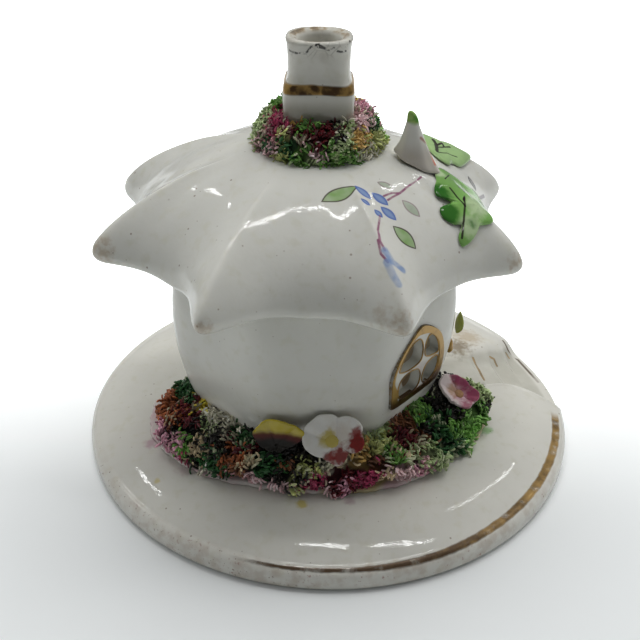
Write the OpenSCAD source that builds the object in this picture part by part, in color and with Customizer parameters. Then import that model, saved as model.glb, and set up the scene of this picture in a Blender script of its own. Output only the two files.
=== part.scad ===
// Porcelain pastille burner in the form of an eight-sided cottage with an umbrella roof.
// The cottage lifts off a round stand, on which a pastille burns. Its smoke leaves by the chimney.
// Millimetres. Origin at the centre of the stand's underside, +Z up, front of the view at -Y.

/* [Stand] */
// Diameter of the round stand
stand_d = 112; // [106:1:124]
// Height of the stand's rim, where the gilt line runs
rim_h = 4.5; // [3.8:0.1:5.2]
// Height of the flat seat that the cottage stands on
seat_z = 7; // [6.4:0.1:8]
// Depth of the hollow under the stand
under_h = 2.2; // [1.5:0.1:2.6]
// Width of the foot that touches the table
foot_w = 12; // [11.5:0.5:15]
// Height of the ring that locates the cottage
ring_h = 3; // [2:0.5:5]
// Thickness of the locating ring
ring_t = 2.4; // [1.6:0.2:3.2]
// Gap between the locating ring and the cottage
ring_gap = 0.8; // [0.4:0.1:1.5]

/* [Path] */
// Direction of the stepped path, anticlockwise from +X
path_turn = 14; // [0:1:20]
// Distance of the first step from the cottage's axis
step_start = 43; // [40:0.5:45]
// Depth of one tread
tread = 5.4; // [4:0.2:5.6]
// Drop from one tread to the next
riser = 1.5; // [1:0.1:1.5]
// Half width of the path at the first step
path_half = 7.2; // [5:0.2:9]
// How much each side of the path flares out per square millimetre
path_flare = 0.06; // [0.02:0.005:0.07]
// How much the banks of the path lean out per millimetre of height
bank_lean = 1; // [0.4:0.1:1.1]

/* [Pastille] */
// Diameter of the well that the pastille stands in
well_d = 19; // [14:1:24]
// Depth of the well
well_h = 1.4; // [0.8:0.1:1.8]
// Diameter of the pastille at its foot
pastille_d = 12; // [8:0.5:13]
// Height of the pastille
pastille_h = 15; // [8:1:18]

/* [Wall] */
// Place of the cottage's axis on the stand along X
cottage_x = -4; // [-6:0.5:0]
// Turn of the wall's faces against the roof's ribs
wall_turn = 5; // [0:1:10]
// Distance across two opposite faces at the belly
wall_af = 61.2; // [59:0.2:63]
// Distance across two softened corners at the belly
wall_ac = 64.6; // [63.6:0.2:66]
// Height of the belly, the widest part of the wall
belly_z = 34; // [30:0.5:38]
// Radius of the wall's upright curve
belly_r = 55; // [48:1:80]
// Thickness of the wall
wall_t = 3; // [2.2:0.1:3.6]
// Height of the wall's top edge, where the roof is luted on
wall_top = 48; // [46:0.5:49]

/* [Windows and door] */
// Width of a window over its gilt frame
window_w = 18.4; // [15:0.2:18.6]
// How far a window's middle lies from the middle of its face, away from the door
window_off = 1.2; // [0:0.1:1.4]
// Height of a window's sill
window_z = 19.7; // [18:0.1:21]
// Height of a window's sides, up to where its arch springs
window_side = 8; // [7:0.2:9.4]
// Width of the gilt frame round the panes
frame_w = 1.7; // [1.2:0.1:2.2]
// Width of the bars between the panes
bar_w = 1.4; // [1:0.1:2]
// Height of the cross bar over the sill
cross_h = 9.1; // [7.5:0.1:10]
// How far the frame stands proud of the wall
frame_proud = 0.5; // [0.2:0.1:1]
// Thickness of the pierced window behind the wall's face
lattice_t = 2; // [1.2:0.1:2.2]
// Width of the door
door_w = 11; // [9:0.2:13]
// Height of the door's sides, up to where its arch springs
door_side = 18; // [14:0.5:20]
// Height of the door's sill over the seat
sill_h = 1.5; // [1:0.1:3]
// How far the door lies back from the wall's face
door_back = 0.8; // [0.4:0.1:1.2]
// Thickness of the door
door_t = 1.8; // [1.2:0.1:2.2]
// Gap at the luted joints
lute_gap = 0.1; // [0.05:0.05:0.2]

/* [Roof] */
// Radius of the roof over the tips of its ribs
tip_r = 46.7; // [45:0.1:48]
// Height of the tips
tip_z = 51.6; // [50:0.1:54]
// Radius of the eaves midway between two tips
eave_r = 37.9; // [36.5:0.1:39]
// Height of the eaves midway between two tips
eave_z = 50.8; // [50:0.1:52]
// Height of the crown, on which the chimney stands
crown_z = 69.5; // [67:0.5:73]
// Radius of the flat crown
crown_r = 10.5; // [10:0.1:11.5]
// Radius of the rounded lip of the eaves midway between two tips
eave_lip = 1.1; // [0.8:0.1:1.6]
// Radius of the lip under a tip
tip_lip = 2.1; // [1.4:0.1:2.6]
// Fullness of the puffed panels, 2 being a quarter ellipse
panel_full = 1.7; // [1.5:0.05:2.2]
// Fullness along the ribs
rib_full = 1.45; // [1.3:0.05:1.8]
// Thickness of the roof over its hollow
roof_t = 4.5; // [3.5:0.1:6]

/* [Chimney] */
// Place of the chimney from the cottage's axis along X
chimney_dx = 1; // [-1:0.5:1.5]
// Width of the square stack
stack_w = 14.1; // [12.5:0.1:14.6]
// Chamfer on the stack's corners
stack_chamfer = 1.7; // [1:0.1:2.5]
// Height of the stack
stack_h = 13; // [11:0.5:16]
// Width of the pot at its waist
pot_w = 12.2; // [11:0.1:13]
// Width of the pot over its flared rim
pot_rim_w = 13; // [12:0.1:14]
// Height of the pot
pot_h = 8.5; // [6:0.5:12]
// Diameter of the flue
flue_d = 8.4; // [7:0.1:9]

/* [Moss and flowers] */
// Thickness of the clay bed under the moss
bed_t = 1.1; // [0.8:0.1:2]
// Radius of the clay bed
bed_r = 36; // [35:0.2:38]
// Height of the moss against the wall
moss_h = 7.4; // [6:0.2:9]
// Gap between the moss and what it lies against
moss_gap = 0.2; // [0.1:0.05:0.4]
// Radius of the white flower
white_r = 6.3; // [5:0.1:7]
// Radius of the pink flower
pink_r = 4.8; // [4:0.1:5.5]
// Radius of the yellow flower
yellow_r = 5; // [4:0.1:5.5]
// Thickness of the petals
petal_t = 0.8; // [0.6:0.1:1.2]
// Thickness of the applied leaves
leaf_t = 0.9; // [0.7:0.1:1.4]
// Height of the trumpet bloom on the roof
bud_h = 11; // [8:0.5:14]
// Radius of the bloom's mouth
bud_r = 4.6; // [3.5:0.1:5]

/* [Hidden] */
$fn = 64;

porcelain = "ghostwhite";
gilt = "goldenrod";
moss_green = "darkolivegreen";

face_a = wall_af / 2;
corner_a = wall_ac / 2;
stand_r = stand_d / 2;
edge_r = 1;
rim_round = rim_h / 2;
bed_top = seat_z + bed_t;
past = 1;

// No two tips match: lift and further reach of each one, anticlockwise from the tip next to +X
tip_lift = [0.95, 0, 0, -0.55, 0.85, 1.2, -0.95, -0.85];
tip_reach = [-0.95, 0, 0, 0.55, 0.15, 2.9, -0.95, -1.3];
tip_count = len(tip_lift);
tip_step = 360 / tip_count;
tip_turn = tip_step / 2;
// How quickly the eaves run out into a tip, and how softly a rib is rounded
tip_power = 2.55;
rib_soft = 0.1;

// Stretches of moss about the cottage's axis, in degrees
moss_left_at = [190, 216];
moss_front_left_at = [216, 254];
moss_front_at = [254, 294];
moss_right_at = [294, 330];
moss_path_at = [330, 357];
moss_back_at = [80, 132];
// How far the moss and its bed spread past the bed's own radius: azimuth and millimetres
moss_spread = [
  [190, 1], [207, 4], [222, 3.6], [236, 2.6], [252, 0.8],
  [274, 0.8], [300, 3], [318, 3.6], [336, 5.6], [357, 6.4]
];

// Flowers: azimuth, distance from the axis, height, heading and upward tilt of the face, length of the stem
white_at = [279.5, 33.2, 17.4, 272, 34, 4.6];
pink_at = [337.6, 35.4, 16, 298, 52, 4.6];
yellow_at = [258, 32.6, 16, 264, 12, 3];
stem_r = 0.9;

function mix(a, b, t) = a + (b - a) * t;
function ring_at(r, a, z) = [r * cos(a), r * sin(a), z];
function arc(c, r, from, to, n) = [for (i = [0:n]) let (a = mix(from, to, i / n)) c + r * [cos(a), sin(a)]];

// Closed skin over a row of loops with equal counts, with a cap at both ends.
// Looking from the first loop towards the last, each loop runs anticlockwise.
module skin(loops) {
  n = len(loops[0]);
  last = (len(loops) - 1) * n;
  sides = [
    for (i = [0:len(loops) - 2]) for (j = [0:n - 1])
      let (k = (j + 1) % n, a = i * n + j, b = i * n + k, c = a + n, d = b + n)
        each [[a, d, c], [a, b, d]]
  ];
  caps = [[for (j = [n - 1:-1:0]) j], [for (j = [0:n - 1]) last + j]];
  polyhedron([for (l = loops) each l], concat(sides, caps), convexity = 10);
}

module at_cottage() translate([cottage_x, 0, 0]) children();

// Distance of a face from the axis at height z, where the face is a apart from it at the belly
function barrel_at(a, z) = a - belly_r + sqrt(belly_r ^ 2 - (z - belly_z) ^ 2);

// Radius of the wall's outside at an azimuth and a height
function wall_r(az, z) =
  let (
    off = abs(((az - wall_turn) % 45 + 45) % 45),
    face = min(off, 45 - off)
  )
  min(barrel_at(face_a, z) / cos(face), barrel_at(corner_a, z) / cos(22.5 - face));

// One pair of opposite faces, curved in height and straight along the face
module slab(a, grow) {
  rotate([90, 0, 0])
    linear_extrude(2 * stand_d, center = true)
      intersection_for(side = [-1, 1])
        translate([side * (belly_r - a), belly_z]) circle(belly_r + grow);
}

// Solid eight-sided barrel with softened corners, grown or shrunk by grow
module barrel(grow, low, high) {
  intersection() {
    translate([0, 0, low]) linear_extrude(high - low) square(2 * stand_d, center = true);
    intersection_for(k = [0:3]) {
      intersection() {
        rotate(wall_turn + 45 * k) slab(face_a, grow);
        rotate(wall_turn + 45 * k + 22.5) slab(corner_a, grow);
      }
    }
  }
}

// Arched outline standing on the X axis, slightly pointed
module arch(w, side) {
  r = 0.6 * w;
  translate([-w / 2, 0]) square([w, side]);
  translate([0, side]) intersection() {
    translate([r - w / 2, 0]) circle(r);
    translate([w / 2 - r, 0]) circle(r);
    translate([-w / 2, -side]) square([w, side + w]);
  }
}

// Stands an outline upright at an azimuth and runs it out through the wall
module through_wall(az, z) {
  rotate(az) translate([wall_af / 4, 0, z]) rotate([90, 0, 90]) linear_extrude(wall_af / 2) children();
}

window_az = [wall_turn - 45, wall_turn + 45];
door_az = wall_turn;
door_z = seat_z + sill_h;

// Stands an outline upright at the right window (0) or the left one (1)
module at_window(i, z) {
  through_wall(window_az[i], z) translate([[-1, 1][i] * window_off, 0]) children();
}

module stand() {
  rim_c = [stand_r - rim_round, rim_h - rim_round];
  seat_r = bed_r - cottage_x + 2;
  dome_n = 6;
  dome = [
    for (i = [0:dome_n])
      let (t = 1 - i / dome_n) [mix(seat_r, rim_c.x, t), seat_z - (seat_z - rim_h) * t ^ 2]
  ];
  foot_in = stand_r - foot_w;
  profile = concat(
    [[0, under_h], [foot_in - under_h, under_h], [foot_in, 0]],
    arc([stand_r - edge_r, edge_r], edge_r, -90, 0, 4),
    arc(rim_c, rim_round, 0, 90, 5),
    dome,
    [[0, seat_z]]
  );
  ring_out = barrel_at(face_a, seat_z) - wall_t - ring_gap;
  color(porcelain)
    difference() {
      union() {
        rotate_extrude() polygon(profile);
        at_cottage() translate([0, 0, seat_z - past]) cylinder(h = ring_h + past, r = ring_out);
      }
      at_cottage() {
        translate([0, 0, seat_z]) cylinder(h = ring_h + past, r = ring_out - ring_t);
        translate([0, 0, seat_z - well_h]) cylinder(h = seat_z, d = well_d);
        rotate(path_turn) steps();
      }
    }
}

// Space over the stepped path: each tread is one riser lower than the last, between leaning banks
module steps() {
  inner = barrel_at(corner_a, seat_z) + ring_t;
  end = stand_r - cottage_x + past;
  starts = [inner, step_start, step_start + tread, step_start + 2 * tread, end];
  parts = 2;
  function half(u, z) = path_half + path_flare * max(0, u - step_start) ^ 2 - bank_lean * (seat_z - z);
  function outline(from, to, z) = [
    [from, -half(from, z), z], [to, -half(to, z), z], [to, half(to, z), z], [from, half(from, z), z]
  ];
  for (i = [0:3]) for (k = [1:parts]) {
    from = mix(starts[i], starts[i + 1], (k - 1) / parts);
    to = mix(starts[i], starts[i + 1], k / parts) + past / 2;
    skin([outline(from, to, 2 * seat_z), outline(from, to, seat_z - (i + 1) * riser)]);
  }
}

module pastille() {
  top_r = pastille_d / 8;
  foot_z = seat_z - well_h;
  color("dimgray")
    at_cottage()
      translate([0, 0, foot_z])
        rotate_extrude()
          polygon(concat([[0, 0], [pastille_d / 2, 0]], arc([0, pastille_h - top_r], top_r, 20, 90, 4)));
}

module cottage_wall() {
  color(porcelain)
    at_cottage()
      difference() {
        barrel(0, seat_z, wall_top);
        barrel(-wall_t, seat_z - past, wall_top + past);
        for (i = [0, 1])
          at_window(i, window_z - lute_gap) arch(window_w + 2 * lute_gap, window_side + lute_gap);
        through_wall(door_az, door_z - lute_gap) arch(door_w + 2 * lute_gap, door_side + lute_gap);
      }
}

// The panes left open between a window's frame, mullion and cross bar
module panes() {
  difference() {
    translate([0, frame_w]) arch(window_w - 2 * frame_w, window_side - frame_w);
    translate([-bar_w / 2, 0]) square([bar_w, window_side + window_w]);
    translate([-window_w / 2, cross_h - bar_w / 2]) square([window_w, bar_w]);
  }
}

module window(i) {
  color(gilt)
    at_cottage()
      difference() {
        intersection() {
          barrel(frame_proud, seat_z, wall_top);
          at_window(i, window_z) arch(window_w, window_side);
        }
        barrel(-lattice_t, seat_z - past, wall_top + past);
        at_window(i, window_z) panes();
      }
}

module window_right() window(0);
module window_left() window(1);

module door() {
  color("burlywood")
    at_cottage()
      difference() {
        intersection() {
          barrel(-door_back, seat_z, wall_top);
          through_wall(door_az, door_z) arch(door_w, door_side);
        }
        barrel(-door_back - door_t, seat_z - past, wall_top + past);
      }
}

// How far an azimuth is from the nearest rib: 0 on the rib, 1 midway between two
function rib_gap(az) =
  let (m = ((az - tip_turn) % tip_step + tip_step) % tip_step)
  min(m, tip_step - m) / tip_turn;
// How near an azimuth is to the tip of a rib: 1 on the rib, 0 midway between two
function tip_near(az) =
  (max(0, 1 - sqrt(rib_gap(az) ^ 2 + rib_soft ^ 2)) / (1 - rib_soft)) ^ tip_power;
// Number of the tip next to an azimuth
function tip_at(az) = ((round((az - tip_turn) / tip_step) % tip_count) + tip_count) % tip_count;
// Radius and height of the eaves
function eave_at(az) =
  [
    mix(eave_r, tip_r + tip_reach[tip_at(az)], tip_near(az)),
    mix(eave_z, tip_z + tip_lift[tip_at(az)], (1 + cos(180 * rib_gap(az))) / 2)
  ];
function lip_at(az) = mix(eave_lip, tip_lip, tip_near(az));
function full_at(az) = mix(panel_full, rib_full, sqrt(tip_near(az)));

// Point of the roof's outside at an azimuth and a turn from crown (0) to eaves (90), lifted off it by up
function roof_at(az, turn, up = 0) =
  let (e = eave_at(az), p = 2 / full_at(az))
  ring_at(
    crown_r + (e.x - crown_r) * sin(turn) ^ p + up * sin(turn),
    az,
    e.y + (crown_z - e.y) * cos(turn) ^ p + up * cos(turn)
  );

// Height of the roof's outside at an azimuth and a radius
function roof_z(az, r) =
  let (
    e = eave_at(az),
    f = full_at(az),
    t = min(1, max(0, (r - crown_r) / (e.x - crown_r)))
  )
  e.y + (crown_z - e.y) * (1 - t ^ f) ^ (1 / f);

module roof() {
  cols = 10;
  rows = 9;
  seat_r = barrel_at(corner_a, wall_top) + roof_t / 2;
  // Columns crowd towards the ribs, where the roof bends most
  azimuths = [
    for (k = [0:tip_count - 1]) for (i = [0:cols - 1])
      let (x = i / cols) tip_turn + tip_step * (k + x - 0.1 * sin(360 * x))
  ];
  outside = [for (i = [0:rows]) [for (az = azimuths) roof_at(az, 90 * i / rows)]];
  under = [
    for (a = [30, 60, 90]) [
      for (az = azimuths)
        let (e = eave_at(az), lip = lip_at(az)) ring_at(e.x - lip * (1 - cos(a)), az, e.y - lip * sin(a))
    ]
  ];
  seat = [[for (az = azimuths) ring_at(seat_r, az, wall_top)]];
  mouth_r = barrel_at(face_a, wall_top) - wall_t;
  hollow_h = crown_z - roof_t - wall_top;
  hollow_r = eave_r - roof_t - eave_lip;
  hollow_p = 2 / panel_full;
  hollow_rise = 5;
  hollow = concat(
    [[0, wall_top - past], [mouth_r, wall_top - past], [mouth_r, wall_top]],
    [
      for (a = [90:-10:0])
        [hollow_r * sin(a) ^ hollow_p, wall_top + hollow_rise + (hollow_h - hollow_rise) * cos(a) ^ hollow_p]
    ]
  );
  color(porcelain)
    at_cottage()
      difference() {
        skin(concat(outside, under, seat));
        rotate_extrude() polygon(hollow);
        translate([chimney_dx, 0, wall_top]) cylinder(h = crown_z, d = flue_d);
      }
}

// Square stack with chamfered corners, then a pot whose section runs from a soft square to nearly round
module chimney() {
  h = stack_w / 2;
  c = h - stack_chamfer;
  section = [[h, -c], [h, c], [c, h], [-c, h], [-h, c], [-h, -c], [-c, -h], [c, -h]];
  cols = 32;
  rows = 7;
  square_p = 0.55;
  round_p = 0.9;
  pot = [
    for (i = [rows:-1:0])
      let (
        t = i / rows,
        w = mix(pot_w, pot_rim_w, t ^ 4) / 2,
        p = mix(square_p, round_p, t)
      )
      [
        for (j = [0:cols - 1])
          let (a = 360 * j / cols, u = cos(a), v = sin(a))
            [w * sign(u) * abs(u) ^ p, w * sign(v) * abs(v) ^ p, crown_z + stack_h + pot_h * t]
      ]
  ];
  color(porcelain)
    at_cottage()
      translate([chimney_dx, 0, 0])
        difference() {
          union() {
            translate([0, 0, crown_z]) linear_extrude(stack_h) polygon(section);
            skin(pot);
          }
          translate([0, 0, crown_z - past]) cylinder(h = stack_h + pot_h + 2 * past, d = flue_d);
        }
}

// Outer edge of the moss and its bed
function moss_out(az) = bed_r + lookup(az, moss_spread);

// Clay bed that the moss is pressed on, following the wall's foot
module bed(from, to) {
  inner = barrel_at(face_a, seat_z) - wall_t;
  count = round((to - from) / 6);
  turns = [for (i = [0:count]) mix(from, to, i / count)];
  outer_edge = [for (az = turns) moss_out(az) * [cos(az), sin(az)]];
  inner_edge = [for (i = [count:-1:0]) inner * [cos(turns[i]), sin(turns[i])]];
  color(porcelain)
    at_cottage()
      difference() {
        translate([0, 0, seat_z]) linear_extrude(bed_t) polygon(concat(outer_edge, inner_edge));
        barrel(lute_gap, seat_z - past, wall_top);
      }
}

module moss_bed() bed(moss_left_at[0], moss_path_at[1]);
module back_bed() bed(moss_back_at[0], moss_back_at[1]);

// Lumps of the moss along its length and round its section, between about -1 and 1
function lump(az, turn) =
  0.5 * sin(7.3 * az + 3 * turn) + 0.3 * sin(15.1 * az - 5 * turn) + 0.25 * sin(29 * az + 2 * turn);

// Moss runs down to nothing much at the ends of its bed
moss_beds = [[moss_left_at[0], moss_path_at[1]], moss_back_at];
moss_run_out = 9;
moss_end = 0.4;
moss_hang = 1.2;
moss_lean = 0.35;
moss_sides = 11;
// Shares of the moss's height and reach: its middle, its spread about that, and how rough it is
moss_mid = [0.5, 0.36];
moss_half = [0.5, 0.6];
moss_rough = 0.16;
function moss_swell(az) =
  max([
    for (b = moss_beds)
      let (end = min(az - b[0], b[1] - az))
        end < 0 ? 0 : mix(moss_end, 1, sqrt(min(1, end / moss_run_out)))
  ]);

// One section of the moss at the foot of the wall: a rough quarter round from the wall down to the bed
function moss_section(az) =
  let (foot = wall_r(az, bed_top), reach = moss_out(az) + moss_hang - foot)
  [
    for (i = [0:moss_sides - 1])
      let (
        turn = 360 * i / moss_sides,
        size = moss_swell(az) * (1 + moss_rough * lump(az, turn)),
        z = bed_top + moss_h * max(0, moss_mid.y + moss_half.y * size * sin(turn)),
        out = foot + reach * (moss_mid.x + moss_half.x * size * cos(turn)) - moss_lean * (z - bed_top)
      )
      ring_at(max(wall_r(az, z) + moss_gap, out), az, z)
  ];

module moss(span, tint) {
  count = round((span[1] - span[0]) / 3);
  turns = [for (i = [0:count]) mix(span[0], span[1], i / count)];
  color(tint) at_cottage() skin([for (az = turns) moss_section(az)]);
}

// Frame of a flower: its face looks along +Z
module at_flower(f) {
  at_cottage()
    translate(ring_at(f[1], f[0], f[2])) rotate([0, 0, f[3]]) rotate([0, 90 - f[4], 0]) children();
}

// Room that a flower takes out of the moss behind it
module flower_room(f, r) {
  at_flower(f) {
    translate([0, 0, -f[5] - moss_gap]) cylinder(h = f[5] + petal_t, r = stem_r + moss_gap);
    translate([0, 0, -moss_gap - petal_t]) cylinder(h = 2 * r, r = r + moss_gap);
  }
}

module moss_left() moss(moss_left_at, "saddlebrown");
module moss_front_left() difference() {
  moss(moss_front_left_at, moss_green);
  flower_room(yellow_at, yellow_r);
}
module moss_front() difference() {
  moss(moss_front_at, "palevioletred");
  flower_room(white_at, white_r);
  flower_room(yellow_at, yellow_r);
}
module moss_right() difference() {
  moss(moss_right_at, moss_green);
  flower_room(pink_at, pink_r);
}
module moss_path() difference() {
  moss(moss_path_at, "olivedrab");
  flower_room(pink_at, pink_r);
}
module moss_back() moss(moss_back_at, moss_green);

// Half width of the stack from the chimney's axis in one direction
function stack_r(az) =
  let (u = abs(cos(az)), v = abs(sin(az)))
  min(stack_w / 2 / max(u, v), (stack_w - stack_chamfer) / (u + v));

// Reach and height of the moss round the chimney, and its shares like those of the moss below
chimney_moss_r = 13.8;
chimney_moss_z = 8.4;
chimney_moss_mid = [0.45, 0.42];
chimney_moss_half = [0.55, 0.5];
chimney_moss_rough = 0.2;
chimney_moss_lean = 0.5;
// Stretches of it about the chimney's axis, in degrees
chimney_moss_left_at = [140, 230];
chimney_moss_front_at = [230, 310];
chimney_moss_right_at = [310, 400];
chimney_moss_back_at = [40, 140];

// One section of the moss round the chimney: it lies on the roof and climbs the stack
function chimney_moss_section(az) =
  let (inner = stack_r(az) + moss_gap, reach = chimney_moss_r - inner)
  [
    for (i = [0:moss_sides - 1])
      let (
        turn = 360 * i / moss_sides,
        size = 1 + chimney_moss_rough * lump(az, turn),
        r = inner + reach * max(0, chimney_moss_mid.x + chimney_moss_half.x * size * cos(turn)),
        p = ring_at(r, az, 0) + [chimney_dx, 0, 0],
        floor_z = roof_z(atan2(p.y, p.x), norm([p.x, p.y])) + moss_gap,
        rise = chimney_moss_z * (chimney_moss_mid.y + chimney_moss_half.y * size * sin(turn))
      )
      [p.x, p.y, max(floor_z, crown_z + rise - chimney_moss_lean * (r - inner))]
  ];

module chimney_moss(span, tint) {
  count = round((span[1] - span[0]) / 6);
  turns = [for (i = [0:count]) mix(span[0], span[1], i / count)];
  color(tint) at_cottage() skin([for (az = turns) chimney_moss_section(az)]);
}

module chimney_moss_left() chimney_moss(chimney_moss_left_at, "mediumvioletred");
module chimney_moss_front() chimney_moss(chimney_moss_front_at, "maroon");
module chimney_moss_right() chimney_moss(chimney_moss_right_at, moss_green);
module chimney_moss_back() chimney_moss(chimney_moss_back_at, moss_green);

petal_count = 5;
// Shares of a flower's radius: its flat middle, the eye on it, and the depth of the notches between petals
flower_flat = 0.22;
flower_eye = 0.2;
petal_notch = 0.16;
// Share of the cup by which the petals rise and fall round the rim
petal_wave = 0.25;

// Five-petalled dish of radius r, cupped by cup, with its thin rim and a short stem behind
module petals(f, r, cup) {
  cols = 8 * petal_count;
  function edge(a) = r * (1 - petal_notch * (1 - abs(cos(petal_count * a / 2)) ^ 0.6));
  function rise(a, t) = cup * ((t - flower_flat) ^ 2 + petal_wave * t * cos(petal_count * a));
  function dish(a, t, z) = ring_at(edge(a) * t, a, z + rise(a, t));
  turns = [for (j = [0:cols - 1]) 360 * j / cols];
  flat_top = [[for (a = turns) ring_at(r * flower_flat, a, 0)]];
  top = [for (t = [0.5, 0.75, 0.93]) [for (a = turns) dish(a, t, 0)]];
  rim = [[for (a = turns) dish(a, 1, -petal_t / 2)]];
  back = [for (t = [0.93, 0.6]) [for (a = turns) dish(a, t, -petal_t)]];
  flat_back = [[for (a = turns) ring_at(r * flower_flat, a, -petal_t)]];
  union() {
    skin(concat(flat_top, top, rim, back, flat_back));
    translate([0, 0, -f[5]]) cylinder(h = f[5] - petal_t / 2, r = stem_r);
  }
}

// Domed eye on the flat middle of a flower
module eye(r) rotate_extrude() polygon(concat([[0, 0]], arc([0, 0], r * flower_eye, 0, 90, 5)));

module white_flower() color("white") at_flower(white_at) petals(white_at, white_r, 1.8);
module white_flower_eye() color("gold") at_flower(white_at) eye(white_r);
module pink_flower() color("hotpink") at_flower(pink_at) petals(pink_at, pink_r, 2);
module pink_flower_eye() color("orange") at_flower(pink_at) eye(pink_r);
module yellow_flower() color("gold") at_flower(yellow_at) petals(yellow_at, yellow_r, 1.2);

// Lobed leaf laid over the roof: from and to are its ends as azimuth and turn from the crown,
// side its half width in degrees of azimuth
module roof_leaf(from, to, side) {
  rows = 24;
  cols = 10;
  clear = 0.4;
  sweep = 6;
  lobes = 3;
  notch = 0.62;
  function half(t) = side * sin(180 * t ^ 0.8) ^ 0.6 * mix(notch, 1, abs(sin(180 * lobes * t)) ^ 0.6);
  function spot(t, v, up) =
    let (m = mix(from, to, t), w = half(t))
    roof_at(m.x + v * w, m.y + sweep * v * v * (1 - t) * w / side, up);
  color("limegreen")
    at_cottage()
      skin([
        for (i = [0:rows])
          let (t = mix(0.004, 0.996, i / rows))
            concat(
              [for (j = [0:cols]) spot(t, 2 * j / cols - 1, clear + leaf_t)],
              [for (j = [cols:-1:0]) spot(t, 2 * j / cols - 1, clear)]
            )
      ]);
}

module roof_leaf_front() roof_leaf([348, 37], [324, 66], 11);
module roof_leaf_back() roof_leaf([22, 27], [16, 54], 12);

// Trumpet bloom standing on its mouth between the leaves, with its green tip leaning to the chimney
module roof_bud() {
  az = 345;
  turn = 26;
  clear = 0.35;
  cols = 32;
  slope = 22;
  // Share of the height and of the foot's radius
  flare = [
    [0, 1], [0.05, 0.98], [0.14, 0.84], [0.26, 0.69], [0.42, 0.54],
    [0.6, 0.4], [0.78, 0.28], [0.93, 0.2], [1, 0.1]
  ];
  foot = roof_at(az, turn, clear);
  lean = [-0.11, 0, 0.96];
  tip = foot + bud_h * lean;
  down = [cos(slope) * cos(az), cos(slope) * sin(az), -sin(slope)];
  along = [-sin(az), cos(az), 0];
  color("white")
    at_cottage()
      skin([
        for (f = flare) [
          for (j = [0:cols - 1])
            let (a = 360 * j / cols) mix(foot, tip, f[0]) + bud_r * f[1] * (cos(a) * down + sin(a) * along)
        ]
      ]);
}

// Climber beside the door: a leaf flat to the wall and a bloom below it
climber_az = 353;
module climber_leaf() {
  z = 29;
  half = [1.9, 2.9];
  color("yellowgreen")
    at_cottage()
      translate(ring_at(wall_r(climber_az, z) + moss_gap, climber_az, z))
        rotate([0, 0, wall_turn]) rotate([0, 90, 0])
          skin([
            for (t = [1:-0.1:0])
              let (w = half.x * sin(180 * mix(0.04, 0.96, t)), u = half.y * (2 * t - 1))
                [
                  [u, -w, 0.6], [u, 0, 0.3], [u, w, 0.6],
                  [u, w * 0.96, 1.5], [u, 0, 2.2], [u, -w * 0.96, 1.5]
                ]
          ]);
}

module climber_bloom() {
  z = 22.8;
  r = 1.7;
  color(gilt)
    at_cottage()
      translate(ring_at(wall_r(climber_az, z) + moss_gap, climber_az, z))
        rotate([0, 0, wall_turn]) rotate([0, 90, 0])
          rotate_extrude() polygon(concat([[0, 0.3], [r * 0.8, 0.3]], arc([0, 0.6], r, 0, 90, 6)));
}

stand();
pastille();
cottage_wall();
roof();
chimney();
window_right();
window_left();
door();
moss_bed();
back_bed();
moss_left();
moss_front_left();
moss_front();
moss_right();
moss_path();
moss_back();
chimney_moss_left();
chimney_moss_front();
chimney_moss_right();
chimney_moss_back();
white_flower();
white_flower_eye();
pink_flower();
pink_flower_eye();
yellow_flower();
roof_leaf_front();
roof_leaf_back();
roof_bud();
climber_leaf();
climber_bloom();
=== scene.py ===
import math

import bpy
import numpy as np
from mathutils import Matrix, Quaternion, Vector


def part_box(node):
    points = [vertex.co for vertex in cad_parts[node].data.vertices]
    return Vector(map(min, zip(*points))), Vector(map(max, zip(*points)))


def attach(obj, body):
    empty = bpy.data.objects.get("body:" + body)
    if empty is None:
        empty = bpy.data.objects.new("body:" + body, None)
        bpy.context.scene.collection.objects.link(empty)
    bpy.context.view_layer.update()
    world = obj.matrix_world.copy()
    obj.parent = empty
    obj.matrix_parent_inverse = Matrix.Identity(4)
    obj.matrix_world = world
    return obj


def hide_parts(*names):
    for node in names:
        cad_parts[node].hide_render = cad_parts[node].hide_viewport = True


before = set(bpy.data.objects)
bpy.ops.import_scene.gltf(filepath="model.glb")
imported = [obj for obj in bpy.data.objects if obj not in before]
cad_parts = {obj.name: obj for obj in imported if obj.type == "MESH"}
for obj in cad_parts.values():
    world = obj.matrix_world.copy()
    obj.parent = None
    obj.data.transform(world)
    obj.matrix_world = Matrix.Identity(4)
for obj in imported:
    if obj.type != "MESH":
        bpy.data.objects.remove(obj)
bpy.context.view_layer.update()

# Looks of a porcelain pastille burner: an eight-sided cottage with an umbrella roof, on a round stand.
# Shapes are worked out in millimetres, and turned into metres where a mesh is written.
# Azimuths are in degrees, anticlockwise from +X about the cottage's axis.
MM = 0.001


def measure(node):
    """Lowest and highest corner of a CAD node in millimetres."""
    low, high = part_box(node)
    return Vector(low) / MM, Vector(high) / MM


# Driving sizes, from the frame where a box gives them
STAND_R = measure("stand")[1].x
WALL_LOW, WALL_HIGH = measure("cottage_wall")
SEAT_Z = WALL_LOW.z
WALL_TOP = WALL_HIGH.z
COTTAGE_X = (WALL_LOW.x + WALL_HIGH.x) / 2
CHIMNEY_LOW, CHIMNEY_HIGH = measure("chimney")
CROWN_Z = CHIMNEY_LOW.z
CHIMNEY_X = (CHIMNEY_LOW.x + CHIMNEY_HIGH.x) / 2
CHIMNEY_TOP = CHIMNEY_HIGH.z
STACK_W = CHIMNEY_HIGH.x - CHIMNEY_LOW.x
FLUE_R = 4.2

RIM_H = 4.5
RIM_ROUND = 2.25
FOOT_W = 12
UNDER_H = 2.2
SEAT_FLAT_R = 42
RING_R, RING_T, RING_H = 19.7, 2.4, 3
WELL_R, WELL_H = 9.5, 1.4

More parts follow.
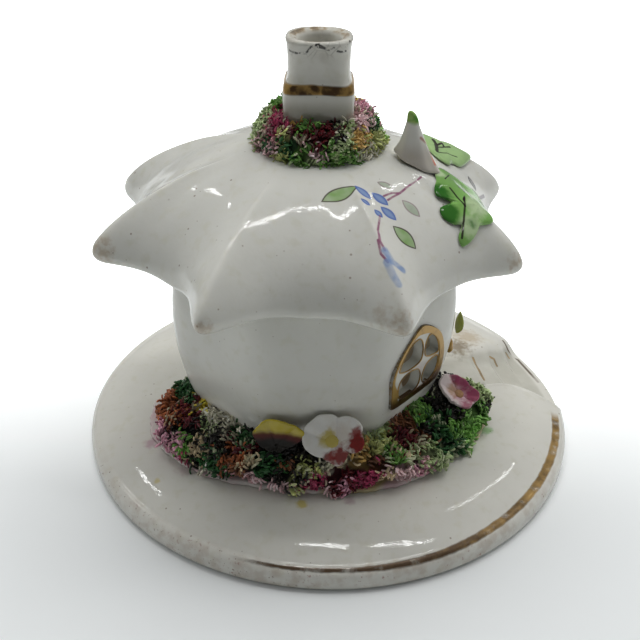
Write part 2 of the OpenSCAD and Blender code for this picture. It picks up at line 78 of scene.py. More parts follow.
PATH_TURN = 14
STEP_START, TREAD, RISER = 43, 5.4, 1.5
PATH_START, PATH_HALF, PATH_FLARE, BANK_LEAN = 27.6, 7.2, 0.06, 1
# The far bank is worn rounder than the near one
FAR_FLARE, FAR_LEAN = 0.048, 1.4
STEP_ROUND, PATH_HEAD = 0.5, 6
NEAR_SOFT, FAR_SOFT = (0.25, 0.12), (0.7, 0.6)
CREST_H, CREST_W, CREST_DEPTH, CREST_FROM = 0.22, 0.6, 0.3, 3

WALL_TURN = 5
FACE_A, CORNER_A = 30.6, 32.3
BELLY_Z, BELLY_R = 34, 55
WALL_T = 3
LUTE = 0.1
WINDOW_Z = measure("window_right")[0].z
WINDOW_AZ = {"window_right": WALL_TURN - 45, "window_left": WALL_TURN + 45}
DOOR_W, DOOR_Z, DOOR_SIDE = 11, SEAT_Z + 1.5, 18

# Tips of the roof, anticlockwise from the one next to +X
TIP_LIFT = np.array([0.95, 0, 0, -0.55, 0.85, 1.2, -0.95, -0.85])
TIP_REACH = np.array([-0.95, 0, 0, 0.55, 0.15, 2.9, -0.95, -1.3])
TIP_STEP = 360 / len(TIP_LIFT)
TIP_TURN = TIP_STEP / 2
TIP_R, TIP_Z = 46.7, 51.6
EAVE_R, EAVE_Z = 37.9, 50.8
CROWN_R = 10.5
TIP_POWER, RIB_SOFT = 2.55, 0.1
PANEL_FULL, RIB_FULL = 1.7, 1.45
EAVE_LIP, TIP_LIP = 1.1, 2.1
ROOF_T = 4.5
# Ridges pressed along the ribs on the photographed side, and soft gathers between the ribs
RIDGE_H, RIDGE_W, RIDGE_AZ = 0.32, 0.075, (135, 315)
GATHER_H, GATHERS = 0.13, 3

BED_TOP = SEAT_Z + 1.1
BED_R = 36
MOSS_H, MOSS_HANG, MOSS_LEAN = 6.9, 0.4, 0.35
MOSS_RUN_OUT, MOSS_END = 9, 0.4
MOSS_MID, MOSS_RISE, MOSS_LUMP = 0.36, 0.6, 0.24
CHIMNEY_MOSS_R, CHIMNEY_MOSS_H, CHIMNEY_LUMP = 13.1, 7.7, 0.2
# Where the threads stop short of the bed's edge at its ends: by how much, and over which azimuths
LEFT_SHORT, RIGHT_SHORT = (2.8, 198, 226), (1.4, 338, 357)
MOSS_SPANS = {
    "moss_left": (190, 216), "moss_front_left": (216, 254), "moss_front": (254, 294),
    "moss_right": (294, 330), "moss_path": (330, 357), "moss_back": (80, 132),
}
BED_SPANS = {"moss_bed": (190, 357), "back_bed": (80, 132)}
CHIMNEY_MOSS_SPANS = {
    "chimney_moss_left": (140, 230), "chimney_moss_front": (230, 310),
    "chimney_moss_right": (310, 400), "chimney_moss_back": (40, 140),
}
# How far the moss spreads past its bed's radius at some azimuths
SPREAD_AZ = [190, 207, 222, 236, 252, 274, 300, 318, 336, 357]
SPREAD_BY = [1, 4, 3.6, 2.6, 0.8, 0.8, 3, 3.6, 5.6, 6.4]

# The photograph's camera, fitted to it
CAMERA_AT = Vector((-1.41, -178.92, 136.53)) * MM
CAMERA_DOWN, CAMERA_TURN, CAMERA_ROLL = 31.56, 0.27, 0.66
LENS, SENSOR = 51.67, 36
PHOTO = 640


def make_camera():
    data = bpy.data.cameras.new("camera")
    data.lens = LENS
    data.sensor_width = SENSOR
    data.clip_start = 0.01
    camera = bpy.data.objects.new("camera", data)
    bpy.context.scene.collection.objects.link(camera)
    turn = Matrix.Rotation(math.radians(CAMERA_TURN), 4, "Z")
    tilt = Matrix.Rotation(math.radians(90 - CAMERA_DOWN), 4, "X")
    roll = Matrix.Rotation(math.radians(CAMERA_ROLL), 4, "Z")
    camera.matrix_world = Matrix.Translation(CAMERA_AT) @ turn @ tilt @ roll
    bpy.context.scene.camera = camera
    bpy.context.view_layer.update()
    return camera


camera = make_camera()
VIEW = np.array(camera.matrix_world.to_3x3())


def sight_of(pixel):
    """Direction in which the camera sees a pixel of the photograph."""
    across, down = ((p - PHOTO / 2) / PHOTO * SENSOR / LENS for p in pixel)
    return camera.matrix_world.to_3x3() @ Vector((across, -down, -1))


def land(pixel, piece):
    """Where a pixel of the photograph falls on a piece: the point, in metres, and the normal there."""
    sight = sight_of(pixel).normalized()
    hit, point, normal, _ = piece.ray_cast(CAMERA_AT, sight)
    if not hit:
        # Beside the piece: the point of it nearest to the line of sight
        middle = sum((Vector(corner) for corner in piece.bound_box), Vector()) / 8
        beside = CAMERA_AT + sight * (middle - CAMERA_AT).dot(sight)
        _, point, normal, _ = piece.closest_point_on_mesh(beside)
    return point, normal


def height_at(pixel, piece):
    """Height, in millimetres, at which a pixel of the photograph falls on a piece."""
    return land(pixel, piece)[0].z / MM


def pixels_of(points):
    """Pixels of the photograph at which points, in millimetres, are seen."""
    seen = (points * MM - np.array(CAMERA_AT)) @ VIEW
    scale = PHOTO * LENS / SENSOR / -seen[..., 2]
    return np.stack([PHOTO / 2 + seen[..., 0] * scale, PHOTO / 2 - seen[..., 1] * scale], -1)


# Modelling


def deselect():
    if bpy.context.object and bpy.context.object.mode != "OBJECT":
        bpy.ops.object.mode_set(mode="OBJECT")
    bpy.ops.object.select_all(action="DESELECT")


def activate(piece):
    deselect()
    piece.select_set(True)
    bpy.context.view_layer.objects.active = piece


def added(name):
    """The piece that was just added, under its own name."""
    piece = bpy.context.object
    piece.name = piece.data.name = name
    return piece


def modify(piece, kind, **settings):
    activate(piece)
    modifier = piece.modifiers.new(kind.lower(), kind)
    for key, value in settings.items():
        setattr(modifier, key, value)
    bpy.ops.object.modifier_apply(modifier=modifier.name)


def weld(piece, reach=0.002):
    """Merges doubles and turns every face outwards."""
    activate(piece)
    bpy.ops.object.mode_set(mode="EDIT")
    bpy.ops.mesh.select_all(action="SELECT")
    bpy.ops.mesh.remove_doubles(threshold=reach * MM)
    bpy.ops.mesh.normals_make_consistent(inside=False)
    bpy.ops.object.mode_set(mode="OBJECT")


def smooth(piece, angle=40):
    activate(piece)
    bpy.ops.object.shade_smooth_by_angle(angle=math.radians(angle))
    return piece


def wrap(name, points):
    """A grid whose points are laid where points says, an array of rows, columns and coordinates."""
    points = np.asarray(points, float)
    rows, columns = points.shape[0] - 1, points.shape[1] - 1
    deselect()
    bpy.ops.mesh.primitive_grid_add(x_subdivisions=columns, y_subdivisions=rows, size=1)
    piece = added(name)
    piece.data.vertices.foreach_set("co", (points * MM).ravel())
    piece.data.update()
    weld(piece)
    return piece


def sweep(name, sections):
    """A closed solid over a row of closed sections, each an array of points."""
    rings = [np.vstack([s, s[:1]]) for s in sections]
    ends = [np.repeat(s.mean(0)[None], len(s) + 1, 0) for s in (sections[0], sections[-1])]
    return wrap(name, [ends[0], *rings, ends[1]])


def join(name, pieces):
    activate(pieces[0])
    for piece in pieces:
        piece.select_set(True)
    bpy.ops.object.join()
    return added(name)


def settle(piece, finishes, body, slot, *nodes):
    """Gives a piece its finishes and its body, and hides the CAD nodes that it stands for."""
    marks = [face.material_index for face in piece.data.polygons]
    piece.data.materials.clear()
    for finish in finishes:
        piece.data.materials.append(finish)
    piece.data.polygons.foreach_set("material_index", marks)
    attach(piece, body)
    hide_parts(*nodes)
    return piece


def polar(r, az, z):
    """Points about the cottage's axis."""
    r, az, z = np.broadcast_arrays(r, np.radians(az), z)
    return np.stack([COTTAGE_X + r * np.cos(az), r * np.sin(az), z], -1)


def unit(v):
    return v / np.linalg.norm(v, axis=-1, keepdims=True)


def mix(a, b, t):
    return a + (b - a) * t


def ease(x, low, high):
    t = np.clip((x - low) / (high - low), 0, 1)
    return t * t * (3 - 2 * t)


def rounded(outline, radius, steps=4):
    """An open outline with its inner corners turned into short arcs."""
    points = [Vector(p) for p in outline]
    result = [points[0]]
    for before, corner, after in zip(points, points[1:], points[2:]):
        cut = min(radius, (corner - before).length * 0.45, (after - corner).length * 0.45)
        start = corner + (before - corner).normalized() * cut
        end = corner + (after - corner).normalized() * cut
        for i in range(steps + 1):
            t = i / steps
            result.append(start * (1 - t) ** 2 + corner * 2 * t * (1 - t) + end * t ** 2)
    return np.array(result + [points[-1]])


def drawn(outline, steps=5):
    """A closed outline drawn smoothly through some points."""
    p = np.array(outline, float)
    a, b, c, d = np.roll(p, 1, 0), p, np.roll(p, -1, 0), np.roll(p, -2, 0)
    t = (np.arange(steps) / steps)[None, :, None]
    a, b, c, d = (x[:, None, :] for x in (a, b, c, d))
    curve = b + 0.5 * t * (c - a + t * (2 * a - 5 * b + 4 * c - d + t * (3 * (b - c) + d - a)))
    return curve.reshape(-1, p.shape[1])


# Materials


class Wire:
    """An output of a node that can be used in sums, each of which adds a Math node."""

    def __init__(self, finish, socket):
        self.finish = finish
        self.socket = socket

    def sum(self, operation, *values):
        return self.finish.node("ShaderNodeMath", {"operation": operation}, dict(enumerate(values)))

    def __add__(self, other):
        return self.sum("ADD", self, other)

    def __sub__(self, other):
        return self.sum("SUBTRACT", self, other)

    def __rsub__(self, other):
        return self.sum("SUBTRACT", other, self)

    def __mul__(self, other):
        return self.sum("MULTIPLY", self, other)

    def __abs__(self):
        return self.sum("ABSOLUTE", self)

    def most(self, other):
        return self.sum("MAXIMUM", self, other)

    def least(self, other):
        return self.sum("MINIMUM", self, other)

    __radd__ = __add__
    __rmul__ = __mul__


def colour(value):
    return value if isinstance(value, Wire) else (*value, 1)


class Finish:
    """A material in the making."""

    def __init__(self, name, **constants):
        self.material = bpy.data.materials.new(name)
        self.material.use_nodes = True
        self.tree = self.material.node_tree
        self.shader = self.tree.nodes["Principled BSDF"]
        for key, value in constants.items():
            self.shader.inputs[key].default_value = value
        self.place = self.node("ShaderNodeTexCoord", out="Object")
        self.body = None

    def node(self, kind, settings=None, sockets=None, out=0):
        """Adds one node: its settings first, then the values or links of its sockets."""
        node = self.tree.nodes.new(kind)
        for key, value in (settings or {}).items():
            setattr(node, key, value)
        for key, value in (sockets or {}).items():
            if isinstance(value, Wire):
                self.tree.links.new(value.socket, node.inputs[key])
            else:
                node.inputs[key].default_value = value
        return Wire(self, node.outputs[out])

    def feed(self, socket, value):
        self.tree.links.new(value.socket, self.shader.inputs[socket])

    def vector(self, operation, *values, out=0):
        return self.node("ShaderNodeVectorMath", {"operation": operation}, dict(enumerate(values)), out)

    def axis(self, name, place=None):
        return self.node("ShaderNodeSeparateXYZ", None, {0: place or self.place}, name)

    def radius(self, x=0):
        """Distance, in metres, from an upright axis at x, which is in millimetres."""
        flat = self.vector("MULTIPLY", self.vector("SUBTRACT", self.place, (x * MM, 0, 0)), (1, 1, 0))
        return self.vector("LENGTH", flat, out="Value")

    def noise(self, scale, detail=2.0):
        sockets = {"Scale": scale, "Detail": detail, "Vector": self.place}
        return self.node("ShaderNodeTexNoise", None, sockets, "Fac")

    def ramp(self, value, low, high, to_low=0.0, to_high=1.0):
        """Eases from to_low to to_high as value goes from low to high."""
        sockets = {"Value": value, "From Min": low, "From Max": high, "To Min": to_low, "To Max": to_high}
        return self.node("ShaderNodeMapRange", {"interpolation_type": "SMOOTHSTEP"}, sockets)

    def fade(self, distance, low, high, to_low=0.0, to_high=1.0):
        """A ramp over a distance or a height, with low and high in millimetres."""
        return self.ramp(distance, low * MM, high * MM, to_low, to_high)

    def blend(self, under, over, mask):
        """One colour over another where mask is 1."""
        sockets = {6: colour(under), 7: colour(over), 0: mask}
        return self.node("ShaderNodeMix", {"data_type": "RGBA"}, sockets, 2)

    def lay(self, paint, mask):
        """Paint over the colour that is laid so far, where mask is 1."""
        self.body = self.blend(self.body, paint, mask)

    def spot(self, piece, pixel, reach, soft, ragged=0.5):
        """A dab at a pixel of the photograph, with a ragged edge. Reach and soft in millimetres."""
        far = self.vector("DISTANCE", self.place, tuple(land(pixel, piece)[0]), out="Value")
        far = far + (self.noise(900, 3) - 0.5) * (2 * ragged * soft * MM)
        return self.fade(far, reach, reach + soft, 1, 0)

    def stroke(self, piece, pixels, width, soft=0.2):
        """A brush stroke through pixels of the photograph. Width and soft in millimetres."""
        spots = [land(pixel, piece)[0] for pixel in pixels]
        far = None
        for start, end in zip(spots, spots[1:]):
            along = end - start
            offset = self.vector("SUBTRACT", self.place, tuple(start))
            share = self.vector("DOT_PRODUCT", offset, tuple(along / along.length_squared), out="Value")
            share = self.node("ShaderNodeClamp", None, {0: share})
            sockets = {0: tuple(along), "Scale": share}
            foot = self.node("ShaderNodeVectorMath", {"operation": "SCALE"}, sockets)
            gap = self.vector("DISTANCE", offset, foot, out="Value")
            far = far.least(gap) if far else gap
        return self.fade(far, width / 2, width / 2 + soft, 1, 0)

    def leaf(self, piece, base, tip, width):
        """How far inside a leaf between two pixels of the photograph a place is, in millimetres."""
        (start, start_up), (end, end_up) = land(base, piece), land(tip, piece)
        along = (end - start) / 2
        up = (start_up + end_up).normalized()
        side = along.cross(up).normalized()
        offset = self.vector("SUBTRACT", self.place, tuple((start + end) / 2))
        a = self.vector("DOT_PRODUCT", offset, tuple(along / along.length_squared), out="Value")
        b = abs(self.vector("DOT_PRODUCT", offset, tuple(side / MM), out="Value"))
        c = abs(self.vector("DOT_PRODUCT", offset, tuple(up / MM), out="Value"))
        return width / 2 - a * a * (width / 2) - b - c * 0.25

    def bump(self, height, depth):
        self.feed("Normal", self.node("ShaderNodeBump", None, {"Height": height, "Distance": depth * MM}))

    def done(self):
        self.feed("Base Color", self.body)
        return self.material


PORCELAIN = (0.68, 0.678, 0.625)
CREAM = (0.69, 0.68, 0.62)
GOLD = (0.47, 0.29, 0.085)
GOLD_DARK = (0.075, 0.036, 0.010)
DIRT = (0.17, 0.11, 0.06)
TAN = (0.36, 0.25, 0.14)
BLACK = (0, 0, 0)
WALL_GLOW = (0.66, 0.65, 0.60)
GLOSS = 0.06
# Light that passes through thin porcelain
CLEAR = {"Subsurface Weight": 0.3, "Subsurface Radius": (1, 0.95, 0.85), "Subsurface Scale": 0.004}


def specks(f, scale, size, share):
    """Round specks of iron in the glaze: one in each cell of a pattern, kept in a share of the cells."""
    cells = {"Vector": f.place, "Scale": scale}
    gap = f.node("ShaderNodeTexVoronoi", None, cells, "Distance")
    pick = f.axis("X", f.node("ShaderNodeTexVoronoi", None, cells, "Color"))
    return f.ramp(gap, size * 0.5, size, 1, 0) * f.ramp(pick, share, share * 1.05, 1, 0)


def glaze(name, tint, dirty=1.0, **constants):
    """Clear-glazed porcelain: cloudy body, specks, and the faint ripple that breaks up its reflections."""
    f = Finish(name, Roughness=GLOSS, IOR=1.5, **constants)
    f.body = f.blend(tuple(c * 0.94 for c in tint), tint, f.ramp(f.noise(70, 3), 0.35, 0.7))
    f.lay(tuple(c * k for c, k in zip(tint, (0.88, 0.87, 0.80))), f.ramp(f.noise(430, 4), 0.5, 0.75) * 0.6)
    f.lay(DIRT, specks(f, 330, 0.10, 0.10) * (0.6 * dirty))
    f.lay(DIRT, specks(f, 900, 0.15, 0.05) * (0.5 * dirty))
    f.bump(f.noise(850, 2) * 0.5 + f.noise(170, 2) * 0.5, 0.05)
    return f


def gild(f, mask, dark):
    """Worn gilding where mask is 1, tarnished by a share that dark gives."""
    tone = f.blend(GOLD, GOLD_DARK, f.ramp(f.noise(330, 4) * 1.6 + dark, 0.9, 1.75))
    f.feed("Metallic", mask * 0.45)
    f.feed("Roughness", f.ramp(mask, 0, 1, GLOSS, 0.32))
    f.lay(tone, mask)


# Roof


def from_nearest(az, first):
    """Degrees between an azimuth and the nearest of eight even ones, counted from the first."""
    return np.abs((az - first + TIP_STEP / 2) % TIP_STEP - TIP_STEP / 2)


def rib_gap(az):
    """How far an azimuth is from the nearest rib: 0 on it, 1 midway between two."""
    return from_nearest(az, TIP_TURN) / TIP_TURN


def tip_near(az):
    """1 on a rib, 0 midway between two."""
    return (np.maximum(0, 1 - np.hypot(rib_gap(az), RIB_SOFT)) / (1 - RIB_SOFT)) ** TIP_POWER


def eave_at(az):
    """Radius and height of the eaves."""
    tip = np.round((az - TIP_TURN) / TIP_STEP).astype(int) % len(TIP_LIFT)
    rise = (1 + np.cos(np.pi * rib_gap(az))) / 2
    return mix(EAVE_R, TIP_R + TIP_REACH[tip], tip_near(az)), mix(EAVE_Z, TIP_Z + TIP_LIFT[tip], rise)


def roof_full(az):
    return mix(PANEL_FULL, RIB_FULL, np.sqrt(tip_near(az)))


def roof_at(az, turn, up=0):
    """The roof's outside at an azimuth and a turn from crown (0) to eaves (90), lifted off it by up."""
    az, turn = np.broadcast_arrays(np.asarray(az, float), np.asarray(turn, float))
    r, z = eave_at(az)
    power = 2 / roof_full(az)
    s, c = np.sin(np.radians(turn)), np.clip(np.cos(np.radians(turn)), 0, 1)
    return polar(CROWN_R + (r - CROWN_R) * s ** power + up * s, az, z + (CROWN_Z - z) * c ** power + up * c)


def roof_z(az, r):
    """Height of the roof's outside at an azimuth and a radius."""
    eave_r, eave_z = eave_at(az)
    full = roof_full(az)
    share = np.clip((r - CROWN_R) / (eave_r - CROWN_R), 0, 1)
    return eave_z + (CROWN_Z - eave_z) * (1 - share ** full) ** (1 / full)


def roof_relief(az, turn):
    """Height of the ridges and gathers, which fade towards the crown and the eaves."""
    gap = rib_gap(az)
    ridge = RIDGE_H * np.exp(-(gap / RIDGE_W) ** 2) * ((az > RIDGE_AZ[0]) & (az < RIDGE_AZ[1]))
    return (ridge + GATHER_H * np.cos(GATHERS * np.pi * gap)) * ease(turn, 14, 34) * (1 - ease(turn, 76, 90))


def make_roof():
    columns, crowding, rows_down, foot_power = 256, 0.1, 61, 1.4
    u = np.linspace(0, len(TIP_LIFT), columns + 1)
    # Columns crowd towards the ribs
    az = TIP_TURN + TIP_STEP * (u - crowding * np.sin(2 * np.pi * u))
    eave_r, eave_z = eave_at(az)
    lip = mix(EAVE_LIP, TIP_LIP, tip_near(az))
    flue = FLUE_R + (CHIMNEY_X - COTTAGE_X) * np.cos(np.radians(az))
    hollow_r, hollow_foot, hollow_top = EAVE_R - ROOF_T - EAVE_LIP, WALL_TOP + 5, CROWN_Z - ROOF_T
    rows = [polar(flue, az, CROWN_Z), polar(mix(flue, CROWN_R, 0.6), az, CROWN_Z)]
    rows += [roof_at(az, turn, roof_relief(az % 360, turn)) for turn in np.linspace(0, 90, rows_down)]
    for turn in np.radians(np.linspace(15, 90, 6)):
        rows.append(polar(eave_r - lip * (1 - np.cos(turn)), az, eave_z - lip * np.sin(turn)))
    seat_r = barrel_at(CORNER_A, WALL_TOP) + ROOF_T / 2
    for t in np.linspace(0.1, 1, 10):
        rows.append(polar(mix(eave_r - lip, seat_r, t), az, mix(eave_z - lip, WALL_TOP, t ** foot_power)))
    rows.append(polar(barrel_at(FACE_A, WALL_TOP) - WALL_T, az, WALL_TOP))
    power = 2 / PANEL_FULL
    for turn in np.radians(np.linspace(90, 12, 16)):
        z = mix(hollow_foot, hollow_top, np.cos(turn) ** power)
        rows.append(polar(np.maximum(flue, hollow_r * np.sin(turn) ** power), az, z))
    rows += [polar(flue, az, hollow_top), polar(flue, az, CROWN_Z)]
    return smooth(wrap("umbrella_roof", rows), 60)


# Wall, windows and door


def barrel_at(a, z):
    """Distance of a face from the axis at height z, where it is a apart from it at the belly."""
    return a - BELLY_R + np.sqrt(BELLY_R ** 2 - (z - BELLY_Z) ** 2)


def wall_r(az, z, soften=0.45):
    """Radius of the wall's outside, with softly rounded corners."""
    face = from_nearest(az, WALL_TURN)
    flat = barrel_at(FACE_A, z) / np.cos(np.radians(face))
    corner = barrel_at(CORNER_A, z) / np.cos(np.radians(TIP_TURN - face))
    return -soften * np.log(np.exp(-flat / soften) + np.exp(-corner / soften)) + soften * 0.1


def arch_points(w, side, steps=12):
    """Outline of an arch that stands on the X axis, slightly pointed: its radius is over half its width."""
    r = 0.6 * w
    turns = np.linspace(0, math.acos((r - w / 2) / r), steps + 1)
    right = [(w / 2 - r + r * math.cos(a), side + r * math.sin(a)) for a in turns]
    left = [(-x, y) for x, y in reversed(right[:-1])]
    return [(-w / 2, 0), (w / 2, 0)] + right + left


def prism(outline, az, z, near, far):
    """An outline stood upright at an azimuth and run out from near to far of the cottage's axis."""
    deselect()
    bpy.ops.mesh.primitive_circle_add(vertices=len(outline), radius=1, fill_type="NGON")
    piece = added("prism")
    for vertex, (x, y) in zip(piece.data.vertices, outline):
        vertex.co = Vector((near, x, z + y)) * MM
    bpy.ops.object.mode_set(mode="EDIT")
    bpy.ops.mesh.select_all(action="SELECT")
    bpy.ops.mesh.extrude_region_move(TRANSFORM_OT_translate={"value": ((far - near) * MM, 0, 0)})
    bpy.ops.mesh.select_all(action="SELECT")
    bpy.ops.mesh.normals_make_consistent(inside=False)
    bpy.ops.object.mode_set(mode="OBJECT")
    turn = Matrix.Rotation(math.radians(az), 4, "Z")
    piece.data.transform(Matrix.Translation((COTTAGE_X * MM, 0, 0)) @ turn)
    return piece


def carve(piece, cutter, operation="DIFFERENCE"):
    modify(piece, "BOOLEAN", object=cutter, operation=operation, solver="EXACT")
    bpy.data.objects.remove(cutter)


def through(outline, az, z):
    return prism(outline, az, z, FACE_A / 2, FACE_A * 1.5)


def make_wall():
    az = np.linspace(0, 360, 241)
    outside = [(0, z) for z in np.linspace(SEAT_Z, WALL_TOP, 41)]
    inside = [(-WALL_T, z) for z in np.linspace(WALL_TOP, SEAT_Z, 16)]
    rows = [polar(wall_r(az, z) + grow, az, z) for grow, z in outside + inside + outside[:1]]
    piece = wrap("cottage_shell", rows)
    for side_az in WINDOW_AZ.values():
        carve(piece, through(window_edge(side_az, LUTE), side_az, WINDOW_Z))
    carve(piece, through(arch_points(DOOR_W + 2 * LUTE, DOOR_SIDE + LUTE), WALL_TURN, DOOR_Z - LUTE))
    return smooth(piece, 35)


def on_wall(across, z, az, proud):
    """Points across and up the wall's face at an azimuth, proud of it."""
    turn = math.radians(az)
    out = barrel_at(FACE_A, np.clip(z, SEAT_Z, WALL_TOP)) + proud
    x = COTTAGE_X + out * math.cos(turn) - across * math.sin(turn)
    return np.stack([x, out * math.sin(turn) + across * math.cos(turn), z], -1)


def wall_plate(name, outline, az, z, front, back):
    """A plate with an outline in the wall, curved like it, from back to front of the wall's face."""
    low, high = np.min(outline, 0), np.max(outline, 0)
    across = np.linspace(low[0] - 1, high[0] + 1, 13)
    up = np.linspace(low[1] - 1, high[1] + 1, 25)
    x, y = np.meshgrid(across, up)
    piece = wrap(name, on_wall(x, z + y, az, front))
    centre = Vector((COTTAGE_X * MM, 0, z * MM))
    if piece.data.polygons[0].normal.dot(piece.data.polygons[0].center - centre) < 0:
        piece.data.flip_normals()
    modify(piece, "SOLIDIFY", thickness=(front - back) * MM, offset=-1)
    weld(piece)
    carve(piece, through(outline, az, z), "INTERSECT")
    return piece


# A window cut by hand, across and up from the middle of its face and its sill: its outline, the inside of its
# gilt frame, and its panes
WINDOW_EDGE = [
    (-9.0, 1.3), (-9.6, 3.6), (-10.3, 6.6), (-10.7, 9.4), (-10.2, 11.9), (-8.9, 13.9), (-7.2, 15.5),
    (-5.2, 16.9), (-3.2, 18.1), (-1.4, 18.6), (0.6, 17.9), (2.8, 16.5), (4.9, 14.6), (6.4, 12.0), (7.4, 9.0),
    (8.0, 6.0), (8.2, 3.4), (7.8, 1.3), (6.4, 0.2), (3.4, 0), (0, 0), (-3.6, 0.1), (-7, 0.4), (-8.6, 0.8),
]
FRAME_EDGE = [
    (-7.3, 2.6), (-7.9, 4.6), (-8.7, 6.4), (-9.8, 8.2), (-10.1, 9.7), (-9.7, 11.7), (-8.4, 13.6),
    (-6.8, 15.2), (-4.9, 16.4), (-3.1, 17.1), (-1.3, 16.8), (1.0, 16.0), (3.1, 14.5), (4.8, 12.2),
    (5.7, 9.6), (6.3, 6.6), (6.4, 4.0), (5.5, 2.2), (3.0, 1.8), (0.2, 1.8), (-2.6, 1.9), (-5.2, 2.1),
]
PANES = [
    [(-8.4, 11.0), (-8.0, 12.6), (-6.9, 14.1), (-5.3, 15.2), (-3.6, 15.9), (-2.0, 15.5), (-1.2, 13.9),
     (-1.0, 11.5), (-1.6, 10.2), (-3.6, 9.9), (-6.0, 10.1)],
    [(0.2, 11.8), (0.2, 13.7), (0.8, 14.9), (1.8, 15.1), (3.0, 14.3), (4.2, 12.6), (5.2, 10.6), (5.3, 9.5),
     (4.2, 9.4), (1.9, 10.0), (0.7, 10.7)],
    [(0.9, 6.0), (1.5, 7.7), (3.3, 8.3), (4.9, 8.2), (5.7, 7.3), (6.0, 5.4), (5.8, 3.6), (4.9, 2.4),
     (3.4, 2.1), (1.9, 2.9), (1.1, 4.4)],
    [(-7.2, 4.2), (-7.9, 6.6), (-7.4, 8.2), (-5.7, 8.8), (-3.4, 8.6), (-1.6, 7.8), (-0.5, 6.0), (-0.1, 3.8),
     (-0.6, 2.3), (-2.8, 2.0), (-5.6, 2.3)],
]
# How far a window's bars and gilt frame stand proud of the wall's face, how far back they reach,
# and the gilt bead round each pane
PANE_PROUD, FRAME_PROUD, FRAME_BACK, PANE_BACK = 0.35, 0.6, -0.5, -2
BEAD_R, PANE_GROW = 0.17, 0.25
# The same for the door
DOOR_PROUD, DOOR_BACK, DOOR_BEVEL = -0.8, -2.6, 0.3


def spread(outline, by):
    """An outline grown away from its middle."""
    return outline + by * unit(outline - outline.mean(0))


def mirror_of(az):
    """The two windows by the door are a pair."""
    return np.array((1 if az < WALL_TURN else -1, 1))


def window_edge(az, grow=0):
    return spread(drawn(WINDOW_EDGE, 3), grow) * mirror_of(az)


def window_bead(name, outline, az, r):
    """A thin bead along an outline on the wall's face."""
    turn = math.radians(az)
    loop = np.vstack([outline, outline[:1]])
    place = on_wall(loop[:, 0], WINDOW_Z + loop[:, 1], az, PANE_PROUD)
    face = np.array([math.cos(turn), math.sin(turn), 0])
    along = unit(np.roll(outline, -1, 0) - np.roll(outline, 1, 0))
    along = np.vstack([along, along[:1]])
    side = np.stack([along[:, 1] * math.sin(turn), -along[:, 1] * math.cos(turn), along[:, 0]], -1)
    a = np.radians(np.arange(0, 361, 45))[None, :, None]
    return wrap(name, place[:, None] + r * (np.cos(a) * side[:, None] + np.sin(a) * face))


def make_window(name, az, looks):
    """A pierced plate with gilt edges round its panes, in a gilt frame."""
    mirror = mirror_of(az)
    bars = wall_plate(name, window_edge(az), az, WINDOW_Z, PANE_PROUD, PANE_BACK)
    bars.data.materials.append(looks[0])
    parts = [bars]
    for i, pane in enumerate(PANES):
        carve(bars, through(spread(drawn(pane), PANE_GROW) * mirror, az, WINDOW_Z))
        parts.append(window_bead(f"{name}_bead_{i}", spread(drawn(pane, 4), PANE_GROW) * mirror, az, BEAD_R))
    gilt_frame = wall_plate(name + "_frame", window_edge(az), az, WINDOW_Z, FRAME_PROUD, FRAME_BACK)
    carve(gilt_frame, through(drawn(FRAME_EDGE, 3) * mirror, az, WINDOW_Z))
    parts.append(gilt_frame)
    for part in parts[1:]:
        part.data.materials.append(looks[1])
    return smooth(join(name, parts), 35)


def make_door():
    piece = wall_plate("door_leaf", arch_points(DOOR_W, DOOR_SIDE), WALL_TURN, DOOR_Z, DOOR_PROUD, DOOR_BACK)
    edges = {"limit_method": "ANGLE", "angle_limit": math.radians(50)}
    modify(piece, "BEVEL", width=DOOR_BEVEL * MM, segments=2, **edges)
    return smooth(piece, 35)


# Stand


def soft_least(a, b, soft):
    return -soft * np.logaddexp(-a / soft, -b / soft)


def path_depth(x, y, z):
    """Lowers a height on the stand to the stepped path between its leaning banks."""
    turn = math.radians(PATH_TURN)
    u = (x - COTTAGE_X) * math.cos(turn) + y * math.sin(turn)
    v = -(x - COTTAGE_X) * math.sin(turn) + y * math.cos(turn)
    floor = SEAT_Z + PATH_HEAD * (1 - ease(u, PATH_START - 2, PATH_START))
    for start in (PATH_START, STEP_START, STEP_START + TREAD, STEP_START + 2 * TREAD):
        floor = floor - RISER * ease(u, start - STEP_ROUND, start + STEP_ROUND)
    far = ease(v, -2, 2)
    half = PATH_HALF + mix(PATH_FLARE, FAR_FLARE, far) * np.maximum(0, u - STEP_START) ** 2
    foot = half - BANK_LEAN * (SEAT_Z - floor)
    bank = floor + (np.abs(v) - foot) / mix(BANK_LEAN, FAR_LEAN, far)
    dug = -soft_least(-floor, -bank, mix(NEAR_SOFT[0], FAR_SOFT[0], far))
    crest = CREST_H * np.exp(-((dug - z - CREST_DEPTH) / CREST_W) ** 2) * (z > CREST_FROM)
    crest = crest * ease(u, STEP_START - 4, STEP_START) * (1 - far)
    return soft_least(z, dug, mix(NEAR_SOFT[1], FAR_SOFT[1], far)) + crest


